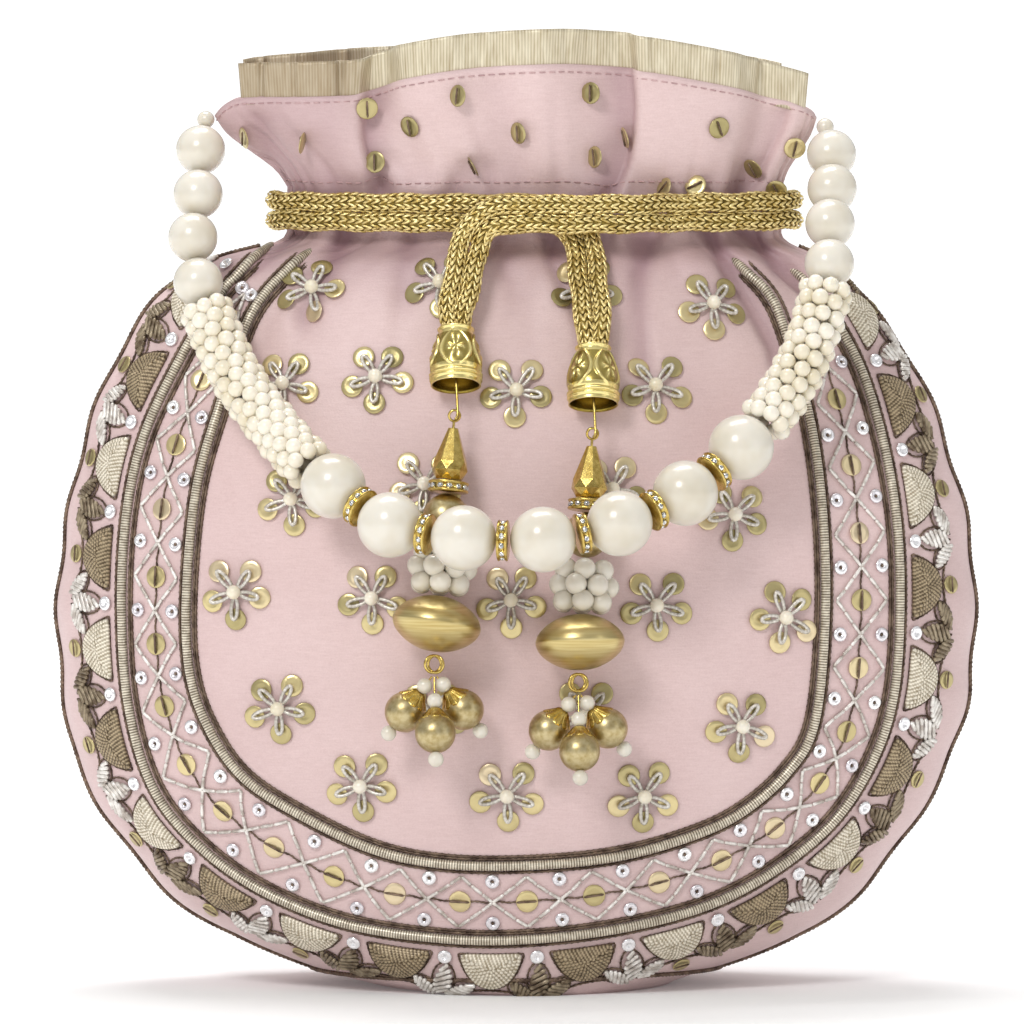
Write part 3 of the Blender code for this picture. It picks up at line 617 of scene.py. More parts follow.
@dataclass(frozen=True)
class BrushedPlate(Finish):
    """Gold plate brushed on a lathe: fine rings round the bead, soft streaks of light."""

    def dress(self, tree: Tree, shader: Node) -> None:
        """Adds rings 0.2 mm apart and a broad change in the plate."""
        rings = self.grain(tree, (9.0, 9.0, 0.22), 2.0)
        self.tinted(tree, shader, self.grain(tree, (14.0, 14.0, 0.5), 2.0), 0.25, 0.68)
        self.raised(tree, shader, rings, 0.018, 0.5)


@dataclass(frozen=True)
class CastPlate(Finish):
    """Gold plate on an embossed casting: darker where the pattern is cut in, lighter where it stands."""

    def dress(self, tree: Tree, shader: Node) -> None:
        """Takes the colour from how high the pattern stands, which the piece keeps as its tone."""
        tone = add(tree, "ShaderNodeAttribute", attribute_name="tone")
        self.tinted(tree, shader, tone.outputs["Fac"], 0.05, 0.70)
        self.raised(tree, shader, self.grain(tree, (0.5, 0.5, 0.5), 2.0), 0.02, 0.5)


@dataclass(frozen=True)
class Stone(Finish):
    """Cut glass over foil: clear, with hard small lights."""

    def dress(self, tree: Tree, shader: Node) -> None:
        """Makes the foil behind the glass show."""
        self.tinted(tree, shader, self.grain(tree, (0.5, 0.5, 0.5), 1.0), 0.40, 0.60)
        shader.inputs["Coat Weight"].default_value = 1.0
        shader.inputs["Coat Roughness"].default_value = 0.02


PINK_SATIN = Satin("pink_silk_satin_woven", "#dec5c3", "#cfb3b1", 0.46)
GOLD_TISSUE = Tissue("gold_tissue_ribbon_woven", "#e0d7bf", "#a39270", 0.45, 0.26)
ZARI = CoiledWire("antiqued_zari_wire_coiled", "#e9e0cc", "#6c5d4a", 0.36, 0.30)
DARK_ZARI = MetalThread("dark_zari_thread_couched", "#86715f", "#4f3c30", 0.45, 0.45)
SILVER_PURL = MetalThread("silver_purl_wire_cut", "#f4f0ea", "#b4aaa0", 0.30, 0.22)
SILVER_LOOP = CoiledWire("silver_purl_wire_looped", "#f8f5ee", "#a89c8a", 0.28, 0.25, turns=0.10)
DARK_PURL = MetalThread("dark_antique_purl_wire_cut", "#a4957c", "#5d4c38", 0.36, 0.30)
LIGHT_COIL = CoiledWire("light_zari_purl_coiled", "#f5eddc", "#a2947a", 0.36, 0.16)
DARK_COIL = CoiledWire("dark_zari_purl_coiled", "#bba888", "#54442e", 0.38, 0.28)
SEWING = MetalThread("pink_cotton_sewing_thread", "#cba9a9", "#ab8889", 0.7)
LUREX = MetalThread("gold_lurex_yarn_knitted", "#ffecab", "#bda25a", 0.30, 0.68, fleck=0.30, depth=0.05)
# Darker lurex for the tube inside the knit: painted shade between the stitches.
LUREX_PAINTED_SHADE = MetalThread("gold_lurex_yarn_in_shadow", "#8f7a36", "#5d4c1c", 0.5, 0.6)
PEARL = PearlLacquer("cream_pearl_lacquer_dipped", "#dfd9cc", "#d2c9b6", 0.27)
SEED_PEARL = PearlLacquer("ivory_seed_pearl_lacquer_dipped", "#efe8d8", "#ddd1b2", 0.24)
BRIGHT_GOLD = GoldPlate("polished_gold_plate_on_moulded_bead", "#d9c072", "#b6984b", 0.22, 1.0)
CAST_GOLD = CastPlate("gold_plate_on_embossed_casting", "#f0de97", "#9c8840", 0.26, 1.0)
MATT_GOLD = GoldPlate("satin_gold_plate_on_moulded_ball", "#c6b78e", "#ad9967", 0.36, 1.0)
BRUSHED_GOLD = BrushedPlate("brushed_gold_plate_on_moulded_bead", "#d3c28d", "#bda669", 0.34, 1.0)
GOLD_SEQUIN = Sequin("gold_foil_sequin_pressed", "#dac995", "#a5996a", 0.30, 0.7)
SILVER_CUP = Sequin("silver_cup_sequin_pressed", "#f4f2f5", "#d8d2d8", 0.22, 0.7, pale="#ffffff")
STONE = Stone("cut_glass_rhinestone_on_foil", "#fdfdf8", "#8f9298", 0.08, 0.75)
WHITE_PAPER = Paper("white_backdrop_paper", "#ffffff", "#fbfbfb", 0.9)


# Geometry node tools


def baked(piece: Piece, tree: Tree, inputs: dict) -> Piece:
    """Runs a geometry tree on an object and keeps the result as a plain mesh.

    Args:
        piece: The object that it starts from, which is removed.
        tree: The geometry tree.
        inputs: Its inputs, by name.

    Returns:
        A new object of the same name.
    """
    modifier = piece.modifiers.new("make", "NODES")
    modifier.node_group = tree
    for item in tree.interface.items_tree:
        if item.item_type == "SOCKET" and item.in_out == "INPUT" and item.name in inputs:
            modifier[item.identifier] = inputs[item.name]
    graph = bpy.context.evaluated_depsgraph_get()
    mesh = bpy.data.meshes.new_from_object(piece.evaluated_get(graph), depsgraph=graph)
    name = piece.name
    bpy.data.objects.remove(piece)
    made = linked(name, mesh)
    mesh.name = name
    mesh.shade_smooth()
    face_outwards(made)
    return made


def new_tree(name: str, inputs: dict[str, str]) -> tuple[Tree, Node]:
    """Starts a geometry tree.

    Args:
        name: Its name.
        inputs: Each input's name and kind, beside the geometry.

    Returns:
        The tree and the node that holds its inputs.
    """
    tree = bpy.data.node_groups.new(name, "GeometryNodeTree")
    face = tree.interface
    for label, kind in {"Geometry": "Geometry", **inputs}.items():
        face.new_socket(label, in_out="INPUT", socket_type="NodeSocket" + kind)
    face.new_socket("Geometry", in_out="OUTPUT", socket_type="NodeSocketGeometry")
    return tree, add(tree, "NodeGroupInput")


def end_tree(tree: Tree, start: Node, made: Node) -> None:
    """Ends a geometry tree: makes what it holds real, in the finish that is put in."""
    real = add(tree, "GeometryNodeRealizeInstances", {"Geometry": made})
    dressed = add(tree, "GeometryNodeSetMaterial", {"Geometry": real, "Material": start.outputs["Finish"]})
    add(tree, "NodeGroupOutput", {"Geometry": dressed})


class Scatter:
    """Sets many copies of one small shape, each with its own place, turn, size and tone."""

    def __init__(self) -> None:
        """Builds the tree once."""
        tree, start = new_tree("set_small_shapes", {"Shape": "Object", "Finish": "Material"})
        shape = add(tree, "GeometryNodeObjectInfo", {"Object": start.outputs["Shape"]})
        turn = add(tree, "GeometryNodeInputNamedAttribute", {"Name": "turn"}, data_type="FLOAT_VECTOR")
        size = add(tree, "GeometryNodeInputNamedAttribute", {"Name": "size"}, data_type="FLOAT_VECTOR")
        turned = add(tree, "FunctionNodeEulerToRotation", {"Euler": turn.outputs["Attribute"]})
        settings = {"Points": start.outputs["Geometry"], "Instance": shape.outputs["Geometry"],
                    "Rotation": turned, "Scale": size.outputs["Attribute"]}
        end_tree(tree, start, add(tree, "GeometryNodeInstanceOnPoints", settings))
        self.tree = tree

    def make(self, name: str, shape: Shape, places: Grid, axes: Axes,
             finish: Finish, sizes: Optional[Grid] = None, tones: Optional[Grid] = None) -> Piece:
        """Sets the copies.

        Args:
            name: The new piece's name.
            shape: The small shape, in its own axes.
            places: Where each copy goes.
            axes: Each copy's own x, y and z.
            finish: Its finish.
            sizes: Each copy's scale along its axes.
            tones: Each copy's "tone", from 0 to 1, which the finish may read.

        Returns:
            The copies as one mesh.
        """
        count = len(places)
        cloud = bpy.data.meshes.new(name)
        cloud.from_pydata(np.asarray(places).tolist(), [], [])
        scale = np.ones((count, 3)) if sizes is None else np.asarray(sizes, float)
        for key, values in (("turn", turned_frames(*axes)), ("size", scale)):
            cloud.attributes.new(key, "FLOAT_VECTOR", "POINT").data.foreach_set("vector", values.ravel())
        tone = np.full(count, 0.5) if tones is None else np.asarray(tones, float)
        cloud.attributes.new("tone", "FLOAT", "POINT").data.foreach_set("value", tone)
        holder = linked(name, cloud)
        small = new_mesh(name + "_shape", *shape)
        made = baked(holder, self.tree, {"Shape": small, "Finish": finish.material()})
        bpy.data.objects.remove(small)
        return made


class Thread:
    """Follows curves with a twisted thread of several plies."""

    def __init__(self) -> None:
        """Builds the tree once."""
        kinds = dict.fromkeys(("Radius", "Groove", "Plies", "Twist", "Step", "Rib", "Rib Depth"), "Float")
        tree, start = new_tree("twist_thread", {**kinds, "Sides": "Int", "Finish": "Material"})
        given = start.outputs
        size = {"Resolution": given["Sides"], "Radius": given["Radius"]}
        ring = add(tree, "GeometryNodeCurvePrimitiveCircle", size)
        around = add(tree, "GeometryNodeSplineParameter")
        angle = calc(tree, "MULTIPLY", around.outputs["Factor"], given["Plies"])
        wave = calc(tree, "COSINE", calc(tree, "MULTIPLY", angle, math.tau))
        deep = calc(tree, "MULTIPLY", wave, given["Groove"])
        here = add(tree, "GeometryNodeInputPosition")
        pushed = add(tree, "ShaderNodeVectorMath", {0: here, "Scale": deep}, operation="SCALE")
        lobed = add(tree, "GeometryNodeSetPosition", {"Geometry": ring, "Offset": pushed})
        route = {"Curve": given["Geometry"], "Length": given["Step"]}
        spread = add(tree, "GeometryNodeResampleCurve", route, mode="LENGTH")
        run = add(tree, "GeometryNodeSplineParameter").outputs["Length"]
        tilt = calc(tree, "MULTIPLY", calc(tree, "DIVIDE", run, given["Twist"]), math.tau)
        tilted = add(tree, "GeometryNodeSetCurveTilt", {"Curve": spread, "Tilt": tilt})
        ribs = calc(tree, "DIVIDE", run, given["Rib"])
        crest = calc(tree, "COSINE", calc(tree, "MULTIPLY", ribs, math.tau))
        swell = calc(tree, "MULTIPLY_ADD", crest, given["Rib Depth"], 1.0)
        ribbed = add(tree, "GeometryNodeSetCurveRadius", {"Curve": tilted, "Radius": swell})
        # The crest is kept as "rib", from which coiled wire paints its highlight and shade.
        noted = add(tree, "GeometryNodeStoreNamedAttribute",
                    {"Geometry": ribbed, "Name": "rib", "Value": crest}, data_type="FLOAT", domain="POINT")
        sweep = {"Curve": noted, "Profile Curve": lobed, "Fill Caps": True}
        end_tree(tree, start, add(tree, "GeometryNodeCurveToMesh", sweep))
        self.tree = tree

    def make(self, name: str, lines: Sequence[Grid], radius: float, finish: Finish, plies: int = 2,
             groove: float = 0.16, twist: float = 0.0030, step: float = 0.0004, sides: int = 8,
             closed: bool = False, rib: float = 0.001, rib_depth: float = 0.0) -> Piece:
        """Lays a thread along each line.

        Args:
            name: The new piece's name.
            lines: The centre lines.
            radius: The thread's radius.
            finish: Its finish.
            plies: How many yarns are twisted together.
            groove: The groove between them, as a share of the radius.
            twist: The length of one turn.
            step: The spacing of the cross sections.
            sides: Points round it.
            closed: Whether each line closes on itself.
            rib: The spacing of ribs across it, as on coiled wire.
            rib_depth: Their height, as a share of the radius.

        Returns:
            The threads as one mesh.
        """
        curve = bpy.data.curves.new(name, "CURVE")
        curve.dimensions = "3D"
        for line in lines:
            spline = curve.splines.new("POLY")
            spline.points.add(len(line) - 1)
            spline.points.foreach_set("co", np.hstack([line, np.ones((len(line), 1))]).ravel())
            spline.use_cyclic_u = closed
        holder = linked(name, curve)
        inputs = {"Radius": radius, "Groove": groove, "Plies": float(plies), "Twist": twist, "Step": step,
                  "Sides": sides, "Rib": rib, "Rib Depth": rib_depth, "Finish": finish.material()}
        return baked(holder, self.tree, inputs)


# Camera and light


@dataclass(frozen=True)
class Sight:
    """The photograph's view: a long lens, a little above the bag's middle."""

    distance: float = 3.0
    elevation: float = math.radians(3.5)
    across: float = 0.24576
    aim: tuple[float, float] = (-0.00096, 0.11274)

    def up(self) -> Grid:
        """The frame's upward direction."""
        return np.array([0.0, math.sin(self.elevation), math.cos(self.elevation)])

    def view(self) -> Grid:
        """The direction in which the camera looks."""
        return np.array([0.0, math.cos(self.elevation), -math.sin(self.elevation)])

    def on_frame(self, across: float, high: float) -> Grid:
        """The point of the picture plane that lies that far across and up from the bag's base."""
        return np.array([across, 0.0, 0.0]) + self.up() * high

    def eye(self) -> Grid:
        """The camera's place."""
        return self.on_frame(*self.aim) - self.view() * self.distance

    def build(self) -> None:
        """Makes the camera and sets it."""
        data = bpy.data.cameras.new("long_lens")
        data.sensor_width = 36.0
        data.lens = 36.0 * self.distance / self.across
        data.clip_start, data.clip_end = 0.05, 100.0
        made = linked("long_lens", data)
        made.location = Vector(self.eye())
        made.rotation_euler = Vector(self.view()).to_track_quat("-Z", "Y").to_euler()
        bpy.context.scene.camera = made


@dataclass(frozen=True)
class Studio:
    """A white sweep of paper, a broad light in front, one above, and one on the right."""

    floor_size: float = 60.0
    world_low: float = 0.34
    world_high: float = 0.66

    def lamp(self, name: str, place: Row, size: Row, watts: float, colour: str = "#ffffff") -> None:
        """Adds a soft box that faces the bag.

        Args:
            name: Its name.
            place: Where it stands.
            size: Its width and height.
            watts: Its power.
            colour: Its colour.
        """
        data = bpy.data.lights.new(name, "AREA")
        data.shape = "RECTANGLE"
        data.size, data.size_y = size
        data.energy = watts
        data.color = linear(colour)[:3]
        made = linked(name, data)
        made.location = place
        aim = Vector((0.0, 0.0, 0.10)) - Vector(place)
        made.rotation_euler = aim.to_track_quat("-Z", "Y").to_euler()

    def build(self) -> None:
        """Makes the floor, the lights and the white surroundings."""
        half = self.floor_size / 2
        corners = np.array([(-half, -half, 0), (half, -half, 0), (half, half, 0), (-half, half, 0)], float)
        floor = new_mesh("paper_floor", corners, [(0, 1, 2, 3)], WHITE_PAPER)
        self.lamp("front_box", (-0.60, -1.35, 1.10), (0.45, 0.45), 12.0)
        self.lamp("right_box", (1.3, -0.9, 0.6), (0.4, 0.9), 1.2)
        self.lamp("top_box", (-0.10, 0.36, 1.35), (0.8, 0.5), 10.0)
        world = bpy.data.worlds.new("white_room")
        world.use_nodes = True
        sky = world.node_tree.nodes["Background"]
        sky.inputs["Color"].default_value = linear("#ffffff")
        ways = add(world.node_tree, "ShaderNodeTexCoord")
        split = add(world.node_tree, "ShaderNodeSeparateXYZ", {0: ways.outputs["Generated"]})
        glow = add(world.node_tree, "ShaderNodeMapRange", {"Value": split.outputs["Z"], "From Min": 0.05,
                   "From Max": 0.9, "To Min": self.world_low, "To Max": self.world_high})
        world.node_tree.links.new(glow.outputs["Result"], sky.inputs["Strength"])
        bpy.context.scene.world = world
        bpy.context.scene.view_settings.view_transform = "Standard"


# The pouch


@dataclass(frozen=True)
class Level:
    """One level of the bag in plan: its height, middle, half width and half depth."""

    height: float
    middle: float
    half_width: float
    half_depth: float

    def mixed(self, other: "Level", share: float) -> "Level":
        """The level that lies that share of the way to another."""
        mine = (self.height, self.middle, self.half_width, self.half_depth)
        theirs = (other.height, other.middle, other.half_width, other.half_depth)
        return Level(*(a + (b - a) * share for a, b in zip(mine, theirs)))


@dataclass(frozen=True)
class Pouch:
    """The hollow bag of satin: a round belly, gathered shoulders, a drawn neck and a flared frill."""

    width: float = 0.2184
    depth: float = 0.092
    shoulder: float = 0.180
    neck_width: float = 0.1186
    neck_depth: float = 0.042
    neck_shift: float = 0.0044
    neck_band: float = 0.0108
    frill_width: float = 0.1440
    frill_depth: float = 0.050
    frill_height: float = 0.0302
    gather_depth: float = 0.0052
    seam_sharpness: float = 1.16
    wall: float = 0.0016

    SECTIONS = (
        # height, left, right, depth
        (0.000, 0.300, 0.340, 0.730),
        (0.020, 0.430, 0.430, 0.790),
        (0.061, 0.600, 0.600, 0.845),
        (0.120, 0.760, 0.750, 0.895),
        (0.200, 0.868, 0.850, 0.940),
        (0.300, 0.960, 0.945, 0.975),
        (0.400, 0.991, 0.993, 0.993),
        (0.500, 1.000, 1.000, 1.000),
        (0.600, 0.985, 0.989, 0.975),
        (0.700, 0.952, 0.949, 0.905),
        (0.800, 0.895, 0.886, 0.805),
        (0.864, 0.840, 0.822, 0.725),
        (0.914, 0.780, 0.755, 0.655),
        (0.960, 0.675, 0.690, 0.570),
    )
    FRILL_RISE = ((0.0, 0.0), (0.22, 0.16), (0.50, 0.52), (0.78, 0.86), (1.0, 1.0))
    EDGE = (
        # degrees, share of the frill's height
        (0, 0.54), (25, 0.70), (90, 0.84), (155, 0.73), (180, 0.56), (204, 0.71), (236, 0.74),
        (248, 0.87), (263, 0.96), (279, 0.99), (295, 0.93), (313, 0.82), (342, 0.64), (360, 0.54),
    )
    SHOULDER_GATHERS = (
        # degrees, share of the gather depth, half width in degrees
        (20, 0.7, 9), (55, 0.8, 10), (90, 0.7, 10), (122, 0.8, 9), (158, 0.7, 9),
        (226, 0.8, 8), (274, 0.6, 9), (298, 0.9, 7), (312, 0.9, 6), (329, 1.0, 7),
    )
    FRILL_GATHERS = ((24, 0.8, 9), (62, 0.9, 9), (98, 0.8, 9), (135, 0.9, 9), (163, 0.7, 8), (241, 1.0, 7),
                     (266, 0.5, 8), (285, 1.1, 8), (328, 0.9, 8))
    CREASES = (
        # depth, width on the left and on the right in millimetres, then points across and up, in millimetres
        (3.4, 1.5, 4.5, ((-34.3, 216), (-34.9, 204), (-33.6, 192))),
        (4.2, 7.0, 1.6, ((25.8, 221), (26.6, 208), (25.0, 196), (22.4, 186))),
        (1.0, 5.0, 5.0, ((-4.0, 216), (-3.0, 192))),
        (2.4, 5.0, 2.0, ((64.0, 208), (60.0, 198), (54.0, 188))),
        (1.6, 2.5, 5.0, ((-62.0, 207), (-57.0, 190))),
        (1.8, 3.0, 7.0, ((-12.0, 196), (-18.0, 186))),
        (3.4, 2.2, 4.2, ((-40.5, 184), (-44.0, 174), (-51.0, 163))),
        (1.6, 3.0, 4.0, ((-3.5, 184), (-3.0, 174), (0.0, 167))),
        (2.6, 2.0, 4.4, ((7.0, 184), (9.0, 174), (13.0, 165), (17.0, 158))),
        (3.0, 4.5, 2.4, ((33.0, 184), (30.0, 168), (31.0, 152))),
        (3.8, 2.2, 4.6, ((44.0, 184), (50.0, 173), (57.0, 162), (62.0, 153))),
        (3.8, 2.2, 4.0, ((53.0, 184), (62.0, 173), (71.0, 165))),
        (3.2, 2.6, 3.6, ((-50.0, 184), (-60.0, 174), (-70.0, 168))),
        (2.2, 3.0, 4.0, ((-25.0, 184), (-27.0, 168))),
        (2.2, 3.0, 3.4, ((18.0, 184), (18.5, 168))),
    )

    def levels(self) -> list[Level]:
        """The levels from the base up to the top of the neck."""
        made = []
        for height, left, right, depth in self.SECTIONS:
            middle, half_width = self.width / 4 * (right - left), self.width / 4 * (right + left)
            made.append(Level(self.shoulder * height, middle, half_width, self.depth / 2 * depth))
        for height in (self.shoulder, self.shoulder + self.neck_band):
            made.append(Level(height, self.neck_shift, self.neck_width / 2, self.neck_depth / 2))
        return made

    def front_of(self, across: float, height: float) -> float:
        """How far forward the ungathered cloth stands at a place in the front view."""
        levels = self.levels()
        found = levels[-1]
        for low, high in zip(levels, levels[1:]):
            if height <= high.height:
                found = low.mixed(high, max((height - low.height) / (high.height - low.height), 0.0))
                break
        share = min(abs(across - found.middle) / found.half_width, 0.999)
        return -found.half_depth * (1 - share * share) ** (self.seam_sharpness / 2)

    def gathered(self, table: Sequence[Row], degrees: Grid) -> Grid:
        """How far the gathers of a table fall in at each angle."""
        total = np.zeros_like(degrees)
        for middle, depth, half in table:
            away = (degrees - middle + 180) % 360 - 180
            total += depth * np.exp(-((away / half) ** 2))
        return self.gather_depth * total

    def fine_folds(self, degrees: Grid, height: Grid, seed: int = 7) -> Grid:
        """Small folds that the drawn cords press into the shoulder and the frill.

        Args:
            degrees: The angle at each point.
            height: The height at each point.
            seed: What fixes their places.

        Returns:
            How far the cloth falls in there.
        """
        rng = np.random.default_rng(seed)
        middle = self.shoulder + self.neck_band / 2
        total = np.zeros_like(degrees)
        for place in np.arange(0, 360, 7.2):
            at = place + rng.uniform(-2.2, 2.2)
            deep = rng.uniform(0.35, 1.0) * 0.9 * MM
            half = rng.uniform(1.3, 2.6)
            below, above = rng.uniform(0.014, 0.042), rng.uniform(0.010, 0.026)
            lean = rng.uniform(-90, 90)
            reach = np.where(height < middle, below, above)
            fade = np.exp(-(((height - middle) / reach) ** 2))
            away = (degrees - at - lean * (height - middle) + 180) % 360 - 180
            total += deep * np.exp(-((away / half) ** 2)) * fade
        return total

    def creased(self, points: Grid) -> Grid:
        """How far the front's own creases fall in at each point, steeply on one side of each."""
        total = np.zeros(points.shape[:-1])
        across, high = points[..., 0], points[..., 2]
        for deep, left, right, route in self.CREASES:
            line = curve_through([(x * MM, z * MM, 0.0) for x, z in route], 6)[::-1]
            away = across - np.interp(high, line[:, 1], line[:, 0])
            half = np.where(away < 0, left, right) * MM
            past = np.maximum(high - line[-1, 1], 0) / 0.0025 + np.maximum(line[0, 1] - high, 0) / 0.006
            total += deep * MM * np.exp(-((away / half) ** 2) - past**2)
        return np.where(points[..., 1] < 0, total, 0.0)

    def surface(self, degrees: Row, step: float) -> Grid:
        """The outer face of the cloth, from the base up to the frill's edge.

        Args:
            degrees: The angles of the columns, from the right over the back.
            step: The spacing of the rows.

        Returns:
            Rows of points, from the base up.
        """
        levels = self.levels()
        table = np.array([(s.height, s.middle, s.half_width, s.half_depth) for s in levels])
        run = run_of(table[:, (0, 2)])
        at = np.linspace(0, run[-1], max(int(run[-1] / step), 8))
        height, middle, half_width, half_depth = (monotone(run, table[:, k], at)[:, None] for k in range(4))
        angle = np.radians(np.asarray(degrees, float))[None, :]
        turn = np.degrees(angle) + 0 * height

        def ring(mid: Grid, wide: Grid, deep: Grid, inward: Grid, high: Grid) -> Grid:
            """The outline of each row, let in by the gathers."""
            c, s = np.cos(angle), np.sin(angle)
            out_x, out_y = c / wide, s / deep
            size = np.hypot(out_x, out_y)
            bowed = np.copysign(np.abs(s) ** self.seam_sharpness, s)
            x = mid + wide * c - out_x / size * inward
            y = deep * bowed - out_y / size * inward
            return np.stack([x, y, high + 0 * x], axis=2)

        start = 0.70 * self.shoulder
        rise = np.clip((height - start) / (self.shoulder - start), 0, 1) ** 1.5
        ease = np.clip((height / self.shoulder - 0.93) / 0.07, 0, 1)
        share = rise * (1 - 0.45 * ease * ease * (3 - 2 * ease))
        inward = self.gathered(self.SHOULDER_GATHERS, turn) * share
        body = ring(middle, half_width, half_depth, inward, height)

        climb = np.linspace(0, 1, max(int(self.frill_height / step), 6) + 1)[1:, None]
        flare = monotone(*zip(*self.FRILL_RISE), climb)
        neck = levels[-1]
        mid = neck.middle * (1 - flare)
        wide = neck.half_width + (self.frill_width / 2 - neck.half_width) * flare
        deep = neck.half_depth + (self.frill_depth / 2 - neck.half_depth) * flare
        edge = monotone(*zip(*self.EDGE), np.asarray(degrees, float) % 360.0001)[None, :]
        turn = np.degrees(angle) + 0 * climb
        soft = np.clip(climb / 0.22, 0, 1)
        inward = (1 - soft) * 0.55 * self.gathered(self.SHOULDER_GATHERS, turn)
        inward = inward + soft * (0.55 + 0.45 * flare) * self.gathered(self.FRILL_GATHERS, turn)
        high = neck.height + self.frill_height * edge * climb
        frill = ring(mid, wide, deep, inward, high)
        return np.vstack([body, frill])

    def normals(self, grid: Grid) -> Grid:
        """The outward direction at each point of a grid."""
        up = np.gradient(grid, axis=0)
        along = np.gradient(grid, axis=1)
        return unit(np.cross(along, up))

    def fold_depth(self, grid: Grid, degrees: Row) -> Grid:
        """How deep the small folds and the creases are at each point."""
        turn = np.asarray(degrees, float)[None, :] + 0 * grid[..., 2]
        return self.fine_folds(turn, grid[..., 2]) + self.creased(grid)

    def relieved(self, grid: Grid, degrees: Row) -> Grid:
        """The grid with its folds, creases and puckers pressed in."""
        normal = self.normals(grid)
        turn = np.asarray(degrees, float)[None, :] + 0 * grid[..., 2]
        high = grid[..., 2]
        deep = self.fold_depth(grid, degrees)
        belly = np.sin(grid[..., 0] * 61 + 2 * np.sin(high * 47)) * np.sin(high * 73 + 1.3)
        deep = deep + 0.35 * MM * belly
        deep = deep * (1 - 0.72 * np.clip(normal[..., 2] * 1.3, 0, 1))
        side = np.abs(np.cos(np.radians(turn))) ** 10 * (high > 0.012) * (high < 0.172)
        deep = deep + 0.45 * MM * np.sin(high * math.tau / 0.024) * side
        return grid - normal * deep[..., None] * (high > 0.0005)[..., None]

    def build(self) -> "Cloth":
        """Makes the front and back cloth.

        Returns:
            The cloth's outer face, for what lies on it.
        """
        front_angles = np.linspace(180, 360, 321)
        back_angles = np.linspace(0, 180, 121)
        plain = self.surface(front_angles, 0.0018), self.surface(back_angles, 0.0026)
        front, back = self.relieved(plain[0], front_angles), self.relieved(plain[1], back_angles)
        front_piece = self.cloth_piece("front_cloth", front, self.fold_depth(plain[0], front_angles))
        present(front_piece, "pink_satin", "front_panel")
        back_deep = self.fold_depth(plain[1], back_angles)
        back_piece = self.cloth_piece("back_cloth", back, back_deep, base=self.base_ring())
        present(back_piece, "pink_satin", "back_panel")
        return Cloth(front, back)

    def base_ring(self) -> Shape:
        """The flat oval base, as a thin closed plate inside the foot of the cloth."""
        foot = self.levels()[0]
        angles = np.linspace(0, math.tau, 120, endpoint=False)
        deep = np.copysign(np.abs(np.sin(angles)) ** self.seam_sharpness, np.sin(angles))
        rings = []
        for share, high in ((0.02, 0.0), (0.5, 0.0), (0.985, 0.0), (0.99, 0.0008), (0.98, 0.0016),
                            (0.5, 0.0016), (0.02, 0.0016)):
            rings.append(np.stack([foot.middle + foot.half_width * share * np.cos(angles),
                    foot.half_depth * share * deep, np.full(120, high)], axis=1))
        points = np.vstack(rings)
        faces = grid_faces(len(rings), 120, ring=True)
        faces.append(tuple(reversed(range(120))))
        faces.append(tuple(range(6 * 120, 7 * 120)))
        return points, faces

    def cloth_piece(self, name: str, outer: Grid, deep: Grid, base: Optional[Shape] = None) -> Piece:
        """A closed wall of satin behind an outer face.

        Args:
            name: The piece's name.
            outer: The outer face.
            deep: How deep in a fold each of its points is.
            base: Points and faces that belong to the same piece.

        Returns:
            The piece.
        """
        inner = outer - self.normals(outer) * self.wall
        inner[0, :, 2] = self.wall
        parts = [shell(outer, inner)]
        if base is not None:
            parts.append(base)
        made = new_mesh(name, *together(parts), PINK_SATIN)
        face_outwards(made)
        # Painted shade, kept as "fold": below the cords, along the casing, on the frill's left past x = -32
        # mm, and in the creases by their depth.
        neck = np.exp(-(((outer[..., 2] - self.shoulder + 0.004) / 0.007) ** 2)) * 0.30
        neck += 0.26 * np.exp(-(((outer[..., 2] - 0.1885) / 0.0065) ** 2))
        neck += 0.32 * np.clip((-outer[..., 0] - 0.032) / 0.012, 0, 1) * (outer[..., 2] > 0.184)
        painted_shade = np.clip(deep / (3.6 * MM), 0, 1) ** 1.3 * 0.44 + neck
        values = np.zeros(len(made.data.vertices))
        values[: painted_shade.size] = painted_shade.ravel()
        # Painted shade over the whole inner face, a quarter of the full amount.
        values[painted_shade.size : 2 * painted_shade.size] = 0.25
        made.data.attributes.new("fold", "FLOAT", "POINT").data.foreach_set("value", values)
        return made


class Cloth:
    """The cloth's outer face, which carries the trimmings and the embroidery."""

    def __init__(self, front: Grid, back: Grid) -> None:
        """Keeps the two faces and a search tree over the front.

        Args:
            front: Rows of points of the front's outer face, from the base up.
            back: The same for the back.
        """
        self.front = front
        self.back = back
        rows, columns = front.shape[:2]
        self.tree = BVHTree.FromPolygons(front.reshape(-1, 3).tolist(), grid_faces(rows, columns))

    def seat(self, origin: Row, along: Row) -> Optional[tuple[Grid, Grid]]:
        """Where a ray meets the front.

        Args:
            origin: Where it starts.
            along: Its direction.

        Returns:
            The place and the outward direction there, or None.
        """
        place, normal, _, _ = self.tree.ray_cast(Vector(origin), Vector(along))
        if place is None:
            return None
        out = np.array(normal)
        if out @ np.array(along) > 0:
            out = -out
        return np.array(place), out

    def laid(self, line: Grid, lift: float) -> Grid:
        """A line given across and up, laid on the front that far above the cloth."""
        rows = []
        for x, z in line:
            found = self.seat((x, -0.2, z), (0, 1, 0))
            if found is not None:
                rows.append(found[0] + found[1] * lift)
        return np.array(rows)


# Drawstrings


